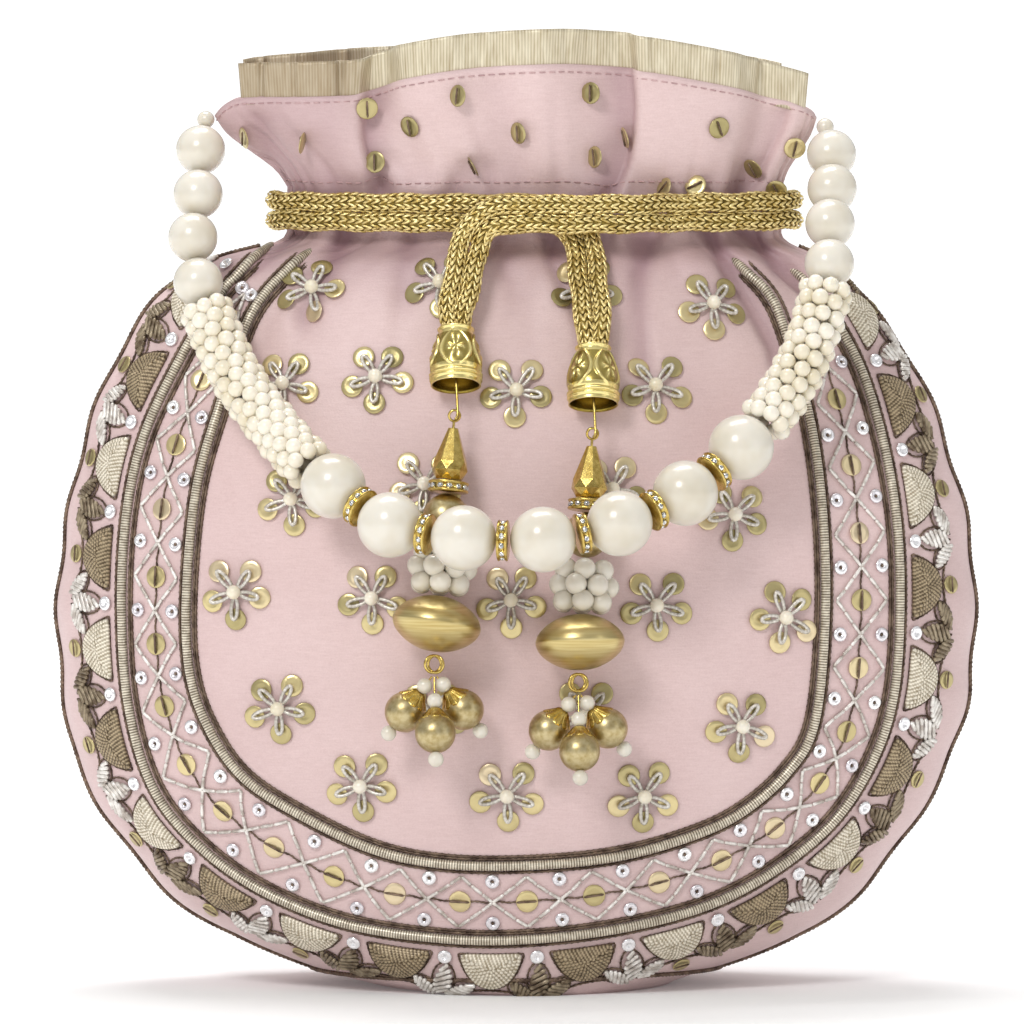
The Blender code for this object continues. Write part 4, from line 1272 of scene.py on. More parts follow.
@dataclass(frozen=True)
class Drawstring:
    """One drawstring of knitted lurex: two strands from a side of the neck to a bell cap."""

    side: Side
    route: Sequence[Row]
    width: float = 0.0048
    overlap: float = 0.0003
    wales: int = 7
    pitch: float = 0.0019
    yarn: float = 0.00034
    taper: float = 0.011

    def strand(self, row: int) -> Grid:
        """The centre line of one strand, beside the pair's middle and flat on the cloth."""
        middle = curve_through(self.route, 4)
        run = run_of(middle)
        near = np.clip((run[-1] - run) / self.taper, 0, 1)[:, None]
        reach = (self.width - self.overlap) / 2 * (0.55 + 0.45 * near * (2 - near))
        after = np.vstack([middle[1:], middle[-1:]])
        before = np.vstack([middle[:1], middle[:-1]])
        outward = middle / (Pouch.neck_width**2, Pouch.neck_depth**2, math.inf)
        beside = unit(np.cross(after - before, outward))
        loose = 0.22 * MM * np.sin(run * math.tau / 0.013 + row) * near[:, 0]
        return middle + beside * (reach * row + loose[:, None])

    def core(self, line: Grid) -> Shape:
        """A tube inside the knit, in darker lurex: painted shade between the stitches."""
        along, side, up = tube_frames(line)
        angles = np.linspace(0, math.tau, 10, endpoint=False)
        reach = self.width / 2 - 1.7 * self.yarn
        points = np.stack([line + reach * (math.cos(a) * side + math.sin(a) * up) for a in angles], axis=1)
        count = len(line)
        faces = grid_faces(count, 10, ring=True)
        faces.append(tuple(reversed(range(10))))
        faces.append(tuple(range((count - 1) * 10, count * 10)))
        return points.reshape(-1, 3), faces

    def build(self, scatter: Scatter, bell: Piece) -> None:
        """Args:
            scatter: The tool that sets the yarn's legs.
            bell: The bell cap that the pair ends in; not used.
        """
        leg = lathe([(0.5 * self.yarn, 0.0), (self.yarn, 0.28 * self.pitch), (self.yarn, 1.0 * self.pitch),
                     (0.5 * self.yarn, 1.3 * self.pitch)], 5)
        leg = (leg[0] + np.array([0, 0, 0.65 * self.pitch]), leg[1])
        for row, row_name in ((1, "first"), (-1, "second")):
            line = self.strand(row)
            courses = evenly(line, int(length_of(line) / self.pitch))
            along, side, up = tube_frames(courses)
            places, axes = [], []
            reach = self.width / 2 - 0.85 * self.yarn
            for wale in range(self.wales):
                middle = math.tau * wale / self.wales
                for lean in (-1, 1):
                    low_a, high_a = middle + lean * 0.10, middle + lean * 0.44
                    low = math.cos(low_a) * side + math.sin(low_a) * up
                    high = math.cos(high_a) * side + math.sin(high_a) * up
                    start = courses + low * (reach - 0.3 * self.yarn) - along * 0.5 * self.pitch
                    end = courses + high * (reach + 0.2 * self.yarn) + along * 0.6 * self.pitch
                    places.append((start + end) / 2)
                    axes.append(frames_from(unit(end - start), unit(low + high)))
            name = f"drawstring_{self.side.value}_{row_name}"
            axes = tuple(np.vstack(ways) for ways in zip(*axes))
            knit = scatter.make(name + "_knit", leg, np.vstack(places), axes, LUREX)
            # The core is painted shade, seen between the knitted legs.
            core = new_mesh(name, *self.core(evenly(line, 90)), LUREX_PAINTED_SHADE)
            piece = joined(name, [core, knit])
            present(piece, "gold_lurex", f"cord_{self.side.value}_{row_name}")


def joined(name: str, pieces: Sequence[Piece]) -> Piece:
    """Several meshes as one piece, with their materials kept."""
    bm = bmesh.new()
    slots: list[bpy.types.Material] = []
    for piece in pieces:
        for material in piece.data.materials:
            if material not in slots:
                slots.append(material)
        own = [slots.index(material) for material in piece.data.materials]
        first = len(bm.faces)
        bm.from_mesh(piece.data)
        bm.faces.ensure_lookup_table()
        for face in bm.faces[first:]:
            face.material_index = own[face.material_index] if own else 0
    mesh = bpy.data.meshes.new(name)
    bm.to_mesh(mesh)
    bm.free()
    for material in slots:
        mesh.materials.append(material)
    for piece in pieces:
        bpy.data.objects.remove(piece)
    mesh.shade_smooth()
    return linked(name, mesh)


LEFT_PAIR_ROUTE = (
    # across, back and up, in metres
    (-0.0576, -0.0015, 0.1854), (-0.0556, -0.0056, 0.1854), (-0.0517, -0.0095, 0.1854),
    (-0.0464, -0.0131, 0.1854), (-0.0398, -0.0163, 0.1854), (-0.0319, -0.0190, 0.1854),
    (-0.0231, -0.0212, 0.1854), (-0.0135, -0.0228, 0.1854), (-0.0034, -0.0237, 0.1854),
    (0.0060, -0.0239, 0.1854), (0.0117, -0.0237, 0.1841), (0.0150, -0.0237, 0.1808),
    (0.0164, -0.0258, 0.1758), (0.0170, -0.0291, 0.1712), (0.0178, -0.0340, 0.1642),
    (0.0182, -0.0374, 0.1594), (0.0182, -0.0390, 0.1551),
)
RIGHT_PAIR_ROUTE = (
    (0.0664, -0.0015, 0.1854), (0.0642, -0.0058, 0.1854), (0.0602, -0.0098, 0.1854),
    (0.0545, -0.0135, 0.1854), (0.0474, -0.0168, 0.1854), (0.0390, -0.0196, 0.1854),
    (0.0296, -0.0265, 0.1854), (0.0194, -0.0290, 0.1854), (0.0087, -0.0297, 0.1854),
    (-0.0010, -0.0296, 0.1854), (-0.0067, -0.0293, 0.1841), (-0.0100, -0.0292, 0.1808),
    (-0.0114, -0.0312, 0.1758), (-0.0122, -0.0331, 0.1722), (-0.0134, -0.0352, 0.1667),
    (-0.0142, -0.0364, 0.1637), (-0.0142, -0.0379, 0.1594),
)


# Trims of the cloth


@dataclass(frozen=True)
class Ribbon:
    """The tissue ribbon round the mouth, set into the top edge of the frill."""

    height: float = 0.0084
    wall: float = 0.0005
    tuck: float = 0.0016
    lean: float = 0.0010

    PLEATS = (
        # where the ribbon is pinched, across, how deep, and how wide, in millimetres
        (-61.0, 1.6, 0.8), (-53.0, 0.8, 0.7), (-41.5, 2.0, 1.0), (-31.0, 0.7, 1.2), (-8.5, 0.9, 0.9),
        (12.0, 0.6, 0.9), (32.5, 1.4, 1.0), (48.0, 0.9, 0.8), (58.5, 1.1, 0.9),
    )

    def run(self, name: str, edge: Grid, below: Grid, node: str, seed: int) -> None:
        """Makes one length of ribbon.

        Args:
            name: The piece's name.
            edge: The cloth's top edge there.
            below: The row of the cloth under it; not used.
            node: The CAD node that it replaces.
            seed: What fixes its waves.
        """
        rng = np.random.default_rng(seed)
        count = 420
        edge, below = evenly(edge, count), evenly(below, count)
        along = unit(np.gradient(edge, axis=0))
        out = unit(np.cross(along, (0.0, 0.0, 1.0)))
        run = run_of(edge)
        sway = sum(rng.uniform(0.4, 1.0) * np.sin(run * math.tau / span + rng.uniform(0, 6))
                   for span in (0.031, 0.019, 0.012, 0.0074))
        rows, shares = [], np.linspace(0, 1, 12)
        for share in shares:
            high = -self.tuck + (self.height + self.tuck) * share
            push = self.lean * share + 0.35 * MM * sway * share**1.3
            for across, deep, half in self.PLEATS:
                near = np.exp(-(((edge[:, 0] / MM - across) / half) ** 2))
                push = push - deep * MM * near * (0.3 + 0.7 * share)
            rows.append(edge + out * (push - 0.0006)[:, None] + np.array([0, 0, high]))
        outer = np.stack(rows)
        inner = outer - out[None] * self.wall
        made = new_mesh(name, *shell(outer, inner), GOLD_TISSUE)
        face_outwards(made)
        layer = made.data.uv_layers.new(name="run")
        flat = np.stack(np.meshgrid(run, shares * (self.height + self.tuck)), axis=2).reshape(-1, 2)
        flat = np.vstack([flat, flat])
        corner = np.empty(len(made.data.loops), int)
        made.data.loops.foreach_get("vertex_index", corner)
        layer.data.foreach_set("uv", flat[corner].ravel())
        present(made, "gold_tissue", node)

    def build(self, cloth: Cloth) -> None:
        """Makes the front and the back ribbon."""
        front, back = cloth.front, cloth.back
        columns = front.shape[1] - 1
        low, high = round(columns * (204 - 180) / 180), round(columns * (345 - 180) / 180)
        self.run("ribbon_front", front[-1, low : high + 1], front[-2, low : high + 1], "front_ribbon", 3)
        columns = back.shape[1] - 1
        low, high = round(columns * 24 / 180), round(columns * 156 / 180)
        self.run("ribbon_back", back[-1, low : high + 1], back[-2, low : high + 1], "back_ribbon", 5)


@dataclass(frozen=True)
class Border:
    """The two coiled zari bands that follow the border, and the dark piping in the seam."""

    coil: float = 0.00112
    strand: float = 0.0004
    piping: float = 0.00055
    end_drop: float = 0.0038
    end_run: float = 0.009

    INNER = ((-0.425, 0.985), (-0.500, 0.950), (-0.578, 0.890), (-0.640, 0.778), (-0.690, 0.670),
             (-0.712, 0.538), (-0.708, 0.435), (-0.670, 0.360), (-0.590, 0.290), (-0.455, 0.238),
             (-0.300, 0.196), (-0.149, 0.179), (0.033, 0.178), (0.213, 0.188), (0.369, 0.212), (0.484, 0.243),
             (0.585, 0.295), (0.645, 0.360), (0.668, 0.498), (0.662, 0.640), (0.632, 0.770), (0.570, 0.900),
             (0.500, 0.955), (0.462, 0.980))
    OUTER = ((-0.535, 0.982), (-0.590, 0.955), (-0.660, 0.905), (-0.736, 0.826), (-0.806, 0.734),
             (-0.843, 0.636), (-0.855, 0.511), (-0.840, 0.378), (-0.784, 0.268), (-0.680, 0.192),
             (-0.541, 0.136), (-0.360, 0.096), (-0.149, 0.079), (0.033, 0.079), (0.230, 0.093),
             (0.415, 0.121), (0.560, 0.165), (0.688, 0.228), (0.775, 0.310), (0.820, 0.400), (0.832, 0.524),
             (0.822, 0.636), (0.788, 0.745), (0.735, 0.840), (0.650, 0.925), (0.590, 0.968))

    def flat_line(self, pouch: Pouch, route: Sequence[Row], offset: float = 0.0) -> Grid:
        """A band's line across and up, in metres, moved outwards in the front view by an offset."""
        line = curve_through([(x * pouch.width / 2, z * pouch.shoulder, 0.0) for x, z in route], 24)
        line = evenly(line, 900)[:, :2]
        along = unit(np.gradient(line, axis=0))
        out = np.stack([along[:, 1], -along[:, 0]], axis=1)
        return line + out * offset

    def sunk(self, line: Grid) -> Grid:
        """A laid line with its two ends taken into the cloth, as where they go into the gathers."""
        run = run_of(line)
        near = np.minimum(run, run[-1] - run)
        drop = self.end_drop * np.clip(1 - near / self.end_run, 0, 1) ** 1.4
        return line + drop[:, None] * np.array([0.0, 1.0, -0.25])

    def build(self, pouch: Pouch, cloth: Cloth, thread: Thread) -> None:
        """Couches the bands and sets the piping."""
        for name, route in (("inner_band", self.INNER), ("outer_band", self.OUTER)):
            coil = self.sunk(cloth.laid(self.flat_line(pouch, route, 0.0), self.coil * 0.7))
            thick = thread.make(name + "_coil", [coil], self.coil, ZARI, groove=0.0, step=0.00016, sides=9,
                                rib=0.00064, rib_depth=0.14)
            edges = []
            for offset in (-0.0021, -0.0015, 0.0017):
                edges.append(self.sunk(cloth.laid(self.flat_line(pouch, route, offset), self.strand * 0.6)))
            thin = thread.make(name + "_edges", edges, self.strand, DARK_ZARI, 2, 0.2, 0.0030, 0.0005, 6)
            present(joined("zari_" + name, [thick, thin]), "zari_thread", name)
        self.pipe(cloth, thread)

    def pipe(self, cloth: Cloth, thread: Thread) -> None:
        """The dark piping down one side seam, under the front and up the other."""
        front = cloth.front
        high = int(np.searchsorted(front[:, 0, 2], 0.176))
        low = int(np.searchsorted(front[:, 0, 2], 0.0036))
        left = front[low : high + 1, 0][::-1]
        right = front[low : high + 1, -1]
        line = np.vstack([left, front[low, 1:-1], right])
        middle = np.array([0.0, 0.0, 0.09])
        outward = unit((line - middle) * np.array([1.0, 0.15, 0.7]))
        line = evenly(line + outward * 0.0004, 900)
        cord = thread.make("seam_cord", [line], self.piping, DARK_ZARI, 2, 0.18, 0.0022, 0.0005, 8)
        present(cord, "zari_thread", "seam_piping")


class Strip:
    """A stretch of the front measured along a band and across from it, for work that follows it."""

    def __init__(self, points: Grid, normals: Grid) -> None:
        """Keeps the samples.

        Args:
            points: Samples along, then across, as places.
            normals: The outward direction at each.
        """
        self.points = points
        self.normals = normals
        self.length = length_of(points[:, points.shape[1] // 2])

    def at(self, along: Grid, across: Grid) -> tuple[Grid, Grid]:
        """Places and outward directions.

        Args:
            along: Shares of the way along, 0 to 1.
            across: Shares of the way across, 0 to 1.

        Returns:
            The places and the directions.
        """
        rows, columns = self.points.shape[:2]
        u = np.clip(np.asarray(along, float), 0, 1) * (rows - 1)
        v = np.clip(np.asarray(across, float), 0, 1) * (columns - 1)
        i = np.minimum(u.astype(int), rows - 2)
        k = np.minimum(v.astype(int), columns - 2)
        a, b = (u - i)[..., None], (v - k)[..., None]
        found = []
        for grid in (self.points, self.normals):
            low = grid[i, k] * (1 - b) + grid[i, k + 1] * b
            high = grid[i + 1, k] * (1 - b) + grid[i + 1, k + 1] * b
            found.append(low * (1 - a) + high * a)
        return found[0], unit(found[1])

    def spot(self, along: float, across: float) -> tuple[Grid, Grid]:
        """One place and its outward direction."""
        places, outs = self.at([along], [across])
        return places[0], outs[0]


def purl_shape() -> Shape:
    """A short cut of coiled wire along z, of length two and radius one."""
    rows = [(0.5, -1.0), (1.0, -0.78), (0.84, -0.4), (1.0, 0.0), (0.84, 0.4), (1.0, 0.78), (0.5, 1.0)]
    return lathe(rows, 6)


def disc_shape() -> Shape:
    """A sequin of radius one, a little dished, with its hole pressed in."""
    return lathe([(0.14, 0.02), (0.55, 0.0), (0.94, -0.05), (1.0, 0.0), (0.9, 0.06), (0.14, 0.10)], 16)


def cup_shape() -> Shape:
    """A cup sequin of radius one, its middle sunk."""
    return lathe([(0.20, 0.05), (0.34, -0.16), (0.66, -0.34), (0.95, -0.16), (1.0, 0.0), (0.2, 0.16)], 12)


@dataclass(frozen=True)
class Work:
    """One kind of small stitch or spangle, gathered up until it is all sewn in one piece."""

    name: str
    shape: Shape
    finish: Finish
    laid: list = field(default_factory=list)

    def lay(self, place: Grid, out: Grid, along: Grid, size: Row, tone: float = 0.5) -> None:
        """Adds one whose z stands out of the cloth.

        Args:
            place: Its middle.
            out: The outward direction.
            along: The direction of its x.
            size: Its scale along x, y and z.
            tone: Its tone.
        """
        axes = frames_from(np.asarray(out)[None], np.asarray(along)[None])
        self.laid.append((place, axes, size, tone))

    def stitch(self, start: Grid, end: Grid, out: Grid, radius: float, fill: float = 0.96) -> None:
        """Adds one whose z runs from a start to an end.

        Args:
            start: One end.
            end: The other.
            out: The outward direction.
            radius: Its radius.
            fill: How much of the way it covers.
        """
        run = np.asarray(end) - np.asarray(start)
        size = (radius, radius, float(np.linalg.norm(run)) / 2 * fill)
        self.lay((np.asarray(start) + end) / 2, run, out, size)

    def sew(self, scatter: Scatter) -> Piece:
        """Sews the whole pile in one piece."""
        places, axes, sizes, tones = zip(*self.laid)
        axes = tuple(np.vstack(ways) for ways in zip(*axes))
        return scatter.make(self.name, self.shape, np.array(places), axes, self.finish, np.array(sizes),
                            np.array(tones))


@dataclass(frozen=True)
class Needlework:
    """The embroidery of the front: flowers, lattice, fans and leaf sprigs, and the frill's sequins."""

    sight: Sight
    pouch: Pouch
    border: Border
    cloth: Cloth
    thread: Thread
    scatter: Scatter
    sequin: float = 0.00268
    frill_sequin: float = 0.00265
    cup: float = 0.0018
    petal_reach: float = 0.0062
    heart: float = 0.00178
    loop_radius: float = 0.00048
    purl_radius: float = 0.00047
    lattice_pitch: float = 0.0154
    fan_pitch: float = 0.0220
    fan_reach: float = 0.0165
    coil_radius: float = 0.00064
    leaf_radius: float = 0.00060
    outline_radius: float = 0.00026

    FLOWERS = (
        # across and up on the picture plane, and the turn of its lowest petal from straight down
        (-49.0, 166.0, 8), (-18.2, 167.2, 0), (16.6, 166.0, 0), (47.0, 162.2, -6), (-55.4, 143.2, 0),
        (-33.4, 144.9, 3), (0.0, 141.5, 0), (33.4, 142.5, 0), (-53.5, 115.6, 5), (-21.8, 119.2, 0),
        (23.0, 118.0, 0), (52.1, 112.0, -8), (-67.0, 93.5, 4), (-34.3, 92.1, 0), (-1.2, 91.6, 0),
        (33.4, 90.4, 0), (64.1, 87.5, -12), (-56.6, 65.7, 6), (-20.2, 64.0, 0), (16.6, 64.0, 0),
        (53.8, 61.6, -4), (-37.0, 47.2, 2), (-2.2, 44.8, 0), (30.5, 44.8, 0),
    )
    FRILL_SEQUINS = (
        # across and up on the picture plane, its stitch's turn from upright, and how wide it is seen
        (-64.8, 203.5, 10, 0.65), (-50.2, 202.5, 18, 0.20), (-37.4, 209.7, -20, 0.60),
        (-55.2, 191.7, 25, 0.90), (-35.6, 196.7, 4, 0.20), (-25.2, 205.4, 0, 1.00),
        (-14.4, 212.8, 5, 0.55), (1.0, 203.9, 0, 0.90), (-10.3, 196.7, -22, 0.30), (17.0, 213.3, 0, 0.50),
        (26.2, 203.0, -12, 0.30), (17.8, 197.5, 0, 0.20), (48.5, 205.1, -25, 1.00),
        (56.4, 195.5, -30, 0.60), (66.0, 200.6, 0, 0.85), (35.3, 191.5, 30, 0.30), (42.7, 192.2, 60, 0.50),
        (61.2, 189.9, -40, 0.60),
    )

    def on_view(self, across: float, high: float) -> Optional[tuple[Grid, Grid]]:
        """Where the cloth is at a place of the picture plane, in millimetres."""
        eye = self.sight.eye()
        target = self.sight.on_frame(across * MM, high * MM)
        return self.cloth.seat(eye, unit(target - eye))

    def flowers(self) -> list[Piece]:
        """Five sequins round a pearl, each held by a loop of purl.

        Returns:
            The pieces.
        """
        rng = np.random.default_rng(21)
        discs = Work("flower_sequins", disc_shape(), GOLD_SEQUIN)
        hearts = Work("flower_pearls", ball_shape(), SEED_PEARL)
        loops = []
        for across, high, turn in self.FLOWERS:
            found = self.on_view(across, high)
            if found is None:
                continue
            middle, out = found
            right = unit(np.cross(out, np.array([0.0, 0.0, -1.0])))
            up = np.cross(out, right)
            hearts.lay(middle + out * 0.0024, out, right, (self.heart,) * 3)
            for k in range(5):
                a = math.radians(-90 + turn + 72 * k + rng.uniform(-5, 5))
                way = math.cos(a) * right + math.sin(a) * up
                reach = self.petal_reach * rng.uniform(0.95, 1.06)
                seat = self.cloth.seat(middle + way * reach + out * 0.012, -out)
                if seat is None:
                    continue
                place, normal = seat
                tip = unit(normal + 0.10 * way + 0.05 * rng.normal(size=3))
                discs.lay(place + normal * 0.0008, tip, way, (self.sequin,) * 3,
                          float(rng.uniform(0.1, 0.95)))
                beside = np.cross(out, way)
                t = np.linspace(0, math.tau, 19)
                far = 0.0012 + (reach * 1.02 - 0.0012) * (0.5 - 0.5 * np.cos(t))
                wide = 0.00088 * np.sin(t) * (0.75 + 0.25 * (0.5 - 0.5 * np.cos(t)))
                lift = 0.0013 + 0.0007 * np.sin(t / 2) ** 2
                base = middle + (place - middle) * (far / reach)[:, None]
                loops.append(base + beside * wide[:, None] + out * lift[:, None])
        made = [self.thread.make("flower_loops", loops, self.loop_radius, SILVER_LOOP, groove=0.0,
                                 step=0.00032,
                                 sides=6, rib=0.00096, rib_depth=0.03)]
        return [*made, discs.sew(self.scatter), hearts.sew(self.scatter)]

    def frill(self) -> list[Piece]:
        """Scattered sequins on the frill, each held by one dark stitch.

        Returns:
            The pieces.
        """
        rng = np.random.default_rng(5)
        discs = Work("frill_sequins", disc_shape(), GOLD_SEQUIN)
        ties = Work("frill_ties", purl_shape(), DARK_ZARI)
        for across, high, turn, seen in self.FRILL_SEQUINS:
            found = self.on_view(across, high)
            if found is None:
                continue
            place, out = found
            a = math.radians(turn)
            way = np.array([math.sin(a), 0.0, math.cos(a)])
            way = unit(way - out * float(way @ out))
            tone = float(rng.uniform(0.0, 0.6))
            facing = unit(out * seen + np.cross(out, way) * math.sqrt(1.0001 - seen**2))
            lift = 0.0006 + 0.62 * self.frill_sequin * math.sqrt(1.0001 - seen**2)
            middle = place + out * lift
            discs.lay(middle, facing, way, (self.frill_sequin,) * 3, tone)
            top = middle + facing * 0.00042
            ties.stitch(top - way * 0.0022, top + way * 0.0020, facing, 0.00028)
        return [discs.sew(self.scatter), ties.sew(self.scatter)]

    def lattice(self) -> list[Piece]:
        """Diamonds of cut purl between the bands, a sequin in each and cup sequins between them.

        Returns:
            The pieces.
        """
        rng = np.random.default_rng(9)
        outer = evenly(self.border.flat_line(self.pouch, Border.OUTER, -0.0024), 240)
        dense = evenly(self.border.flat_line(self.pouch, Border.INNER, 0.0020), 900)
        inner = dense[np.argmin(np.linalg.norm(outer[:, None] - dense[None], axis=2), axis=1)]
        strip = surface_strip(self.cloth, outer[6:-6], inner[6:-6], 13)
        cells = max(int(round(strip.length / self.lattice_pitch)), 8)
        wires = Work("lattice_purl", purl_shape(), SILVER_PURL)
        discs = Work("lattice_sequins", disc_shape(), GOLD_SEQUIN)
        ties = Work("lattice_ties", purl_shape(), DARK_ZARI)
        cups = Work("lattice_cups", cup_shape(), SILVER_CUP)
        eyes = Work("lattice_cup_ties", purl_shape(), DARK_ZARI)
        for cell in range(cells):
            low, mid, high = cell / cells, (cell + 0.5) / cells, (cell + 1) / cells
            jog = rng.uniform(-0.03, 0.03, 4)
            for near, side in ((low, 0.05), (low, 0.95), (high, 0.05), (high, 0.95)):
                share = np.linspace(0, 1, 4)
                along = near + (mid - near) * share
                across = 0.5 + (side - 0.5) * share + np.array([0, jog[0], jog[1], 0]) * 0.4
                places, outs = strip.at(along, across)
                lifted = places + outs * 0.0006
                for a, b, out in zip(lifted, lifted[1:], outs):
                    wires.stitch(a, b, out, self.purl_radius)
            place, out = strip.spot(mid, 0.5)
            way = unit(strip.spot(mid + 0.2 / cells, 0.5)[0] - place)
            discs.lay(place + out * 0.0005, unit(out + 0.06 * rng.normal(size=3)), way, (self.sequin,) * 3,
                      float(rng.uniform(0.35, 0.95)))
            top = place + out * 0.0009
            ties.stitch(top - way * 0.0026, top + way * 0.0024, out, 0.00030)
            for side in (0.13, 0.87):
                place, out = strip.spot(low, side)
                cups.lay(place + out * 0.0006, out, way, (self.cup,) * 3, float(rng.uniform(0.3, 1)))
                eyes.lay(place + out * 0.00055, out, way, (0.00034,) * 3)
        run = np.linspace(0.0, 1.0, 900)
        line, outs = strip.at(run, 0.5 + 0.012 * np.sin(run * cells * math.tau * 3))
        chain = self.thread.make("lattice_chain", [line + outs * 0.0003], 0.00024, DARK_ZARI, groove=0.3,
                                 sides=5)
        return [chain, *(pile.sew(self.scatter) for pile in (wires, discs, ties, cups, eyes))]

    def fans(self) -> list[Piece]:
        """Coiled fans and leaf sprigs in turn between the outer band and the seam.

        Returns:
            The pieces.
        """
        reach = self.fan_reach
        line = evenly(self.border.flat_line(self.pouch, Border.OUTER, 0.0026), 440)[10:-10]
        strip = marched_strip(self.cloth, line, reach, 34)
        length = length_of(strip.points[:, 0])
        count = int(round(length / self.fan_pitch))
        outline = np.array([(-6.7, 0.15), (-5.9, 0.0), (0.0, 0.0), (5.9, 0.0), (6.7, 0.15), (6.3, 1.5),
                            (5.0, 4.3), (2.8, 6.9), (0.0, 7.9), (-2.8, 6.9), (-5.0, 4.3), (-6.3, 1.5)]) * MM
        middle = np.array([0.0, 0.0029])
        piles = {True: [], False: []}
        rims, swags = [], []
        stitches = {True: Work("leaf_stitches_light", purl_shape(), SILVER_PURL),
                    False: Work("leaf_stitches_dark", purl_shape(), DARK_PURL)}
        cups = Work("border_cups", cup_shape(), SILVER_CUP)
        discs = Work("edge_sequins", disc_shape(), GOLD_SEQUIN)
        ties = Work("edge_ties", purl_shape(), DARK_ZARI)

        def on_cloth(flat: Grid, station: float, lift: Grid) -> Grid:
            """Places given along the band and away from it, laid on the cloth."""
            places, outs = strip.at((station + flat[:, 0]) / length, flat[:, 1] / reach)
            return places + outs * np.asarray(lift)[..., None]

        closed = np.vstack([outline, outline[:1]])
        loop = evenly(curve_through([(*p, 0.0) for p in np.vstack([closed, closed[1:2]])], 8)[:-8, :2], 60)
        for k in range(count):
            station = (k + 0.5) * length / count
            light = k % 2 == 0
            for scale in (1.0, 0.83, 0.66, 0.49, 0.32, 0.15):
                flat = middle + (loop - middle) * scale + np.array([0, 0.0014])
                lift = 0.0005 + 0.0009 * (1 - scale**2)
                piles[light].append(on_cloth(flat[:-1], station, np.full(len(flat) - 1, lift)))
            flat = middle + (loop - middle) * 1.17 + np.array([0, 0.0014])
            t = np.linspace(0.02, 0.98, 30)
            swag = np.stack([(t - 0.5) * length / count, 0.0142 - 0.0034 * np.sin(math.pi * t)], axis=1)
            swags.append(on_cloth(swag, station, np.full(30, 0.0003)))
            rims.append(on_cloth(flat[:-1], station, np.full(len(flat) - 1, 0.0003)))
            away = 0.0134 / reach
            place, out = strip.spot(station / length, away)
            way = unit(strip.spot((station + 0.002) / length, away)[0] - place)
            if abs(place[0]) < 0.1065 and place[2] > 0.004:
                discs.lay(place + out * 0.0005, out, way, (0.0022, 0.0026, 0.0026), 0.4)
                top = place + out * 0.0009
                ties.stitch(top - way * 0.002, top + way * 0.002, out, 0.00026)
        for k in range(count + 1):
            station = k * length / count
            light = k % 2 == 0
            leaves = (((0.0, 12.4), (0.0, 4.0), 4.6), ((-1.6, 13.0), (-6.6, 8.6), 3.8),
                      ((1.6, 13.0), (6.6, 8.6), 3.8))
            for base, tip, wide in leaves:
                base, tip = np.array(base) * MM, np.array(tip) * MM
                run = tip - base
                beside = np.array([-run[1], run[0]]) / np.linalg.norm(run)
                if 0.003 < station < length - 0.003:
                    t = np.linspace(0, math.tau, 25)[:-1]
                    bulge = np.sin(t) * (wide / 2 + 0.4) * MM
                    lens = base + run * (0.5 - 0.56 * np.cos(t))[:, None] + beside * bulge[:, None]
                    rims.append(on_cloth(lens, station, np.full(24, 0.0003)))
                for n in range(6):
                    share = (n + 0.5) / 6
                    swell = math.sin(math.pi * min(share * 0.86 + 0.12, 1.0)) ** 0.7
                    at = base + run * share
                    half = beside * wide * MM / 2 * swell
                    slant = run / np.linalg.norm(run) * 0.0010
                    ends = np.array([at - half - slant, at + half + slant])
                    if not 0 < station + at[0] < length:
                        continue
                    laid = on_cloth(ends, station, np.array([0.0006, 0.0006]))
                    out = strip.spot((station + at[0]) / length, at[1] / reach)[1]
                    stitches[light].stitch(laid[0] + out * 0.0003, laid[1] + out * 0.0003, out,
                        self.leaf_radius)
            place, out = strip.spot(station / length, 0.0019 / reach)
            cups.lay(place + out * 0.0006, out, (1.0, 0.0, 0.2), (self.cup,) * 3, 0.8)
        made = []
        for name, light, finish in (("fans_light", True, LIGHT_COIL), ("fans_dark", False, DARK_COIL)):
            made.append(self.thread.make(name, piles[light], self.coil_radius, finish, groove=0.0,
                step=0.00030,
                                         sides=6, closed=True, rib=0.00090, rib_depth=0.16))
        made.append(self.thread.make("fan_swags", swags, 0.00028, DARK_ZARI, groove=0.3, sides=5))
        made.append(self.thread.make("fan_outlines", rims, self.outline_radius, DARK_ZARI, groove=0.3,
            step=0.0006,
                                     sides=5, closed=True))
        piles = (stitches[True], stitches[False], cups, discs, ties)
        return made + [pile.sew(self.scatter) for pile in piles]

    def seams(self) -> list[Piece]:
        """Rows of running stitch: under the ribbon and at the top of the casing.

        Returns:
            The pieces.
        """
        stitches = Work("running_stitches", purl_shape(), SEWING)
        front = self.cloth.front
        rows = [len(front) - 2, int(np.searchsorted(front[:, front.shape[1] // 2, 2], 0.1925))]
        for row in rows:
            line = evenly(front[row], int(length_of(front[row]) / 0.0024) * 3)
            for k in range(0, len(line) - 3, 3):
                out = unit(line[k] * np.array([1.0, 1.6, 0.0]))
                stitches.stitch(line[k] + out * 0.0002, line[k + 2] + out * 0.0002, out, 0.00017)
        return [stitches.sew(self.scatter)]

    def build(self) -> None:
        """Sews all the work and hands it to the frame."""
        for piece in self.flowers() + self.frill() + self.lattice() + self.fans() + self.seams():
            present(piece, "zari_thread")


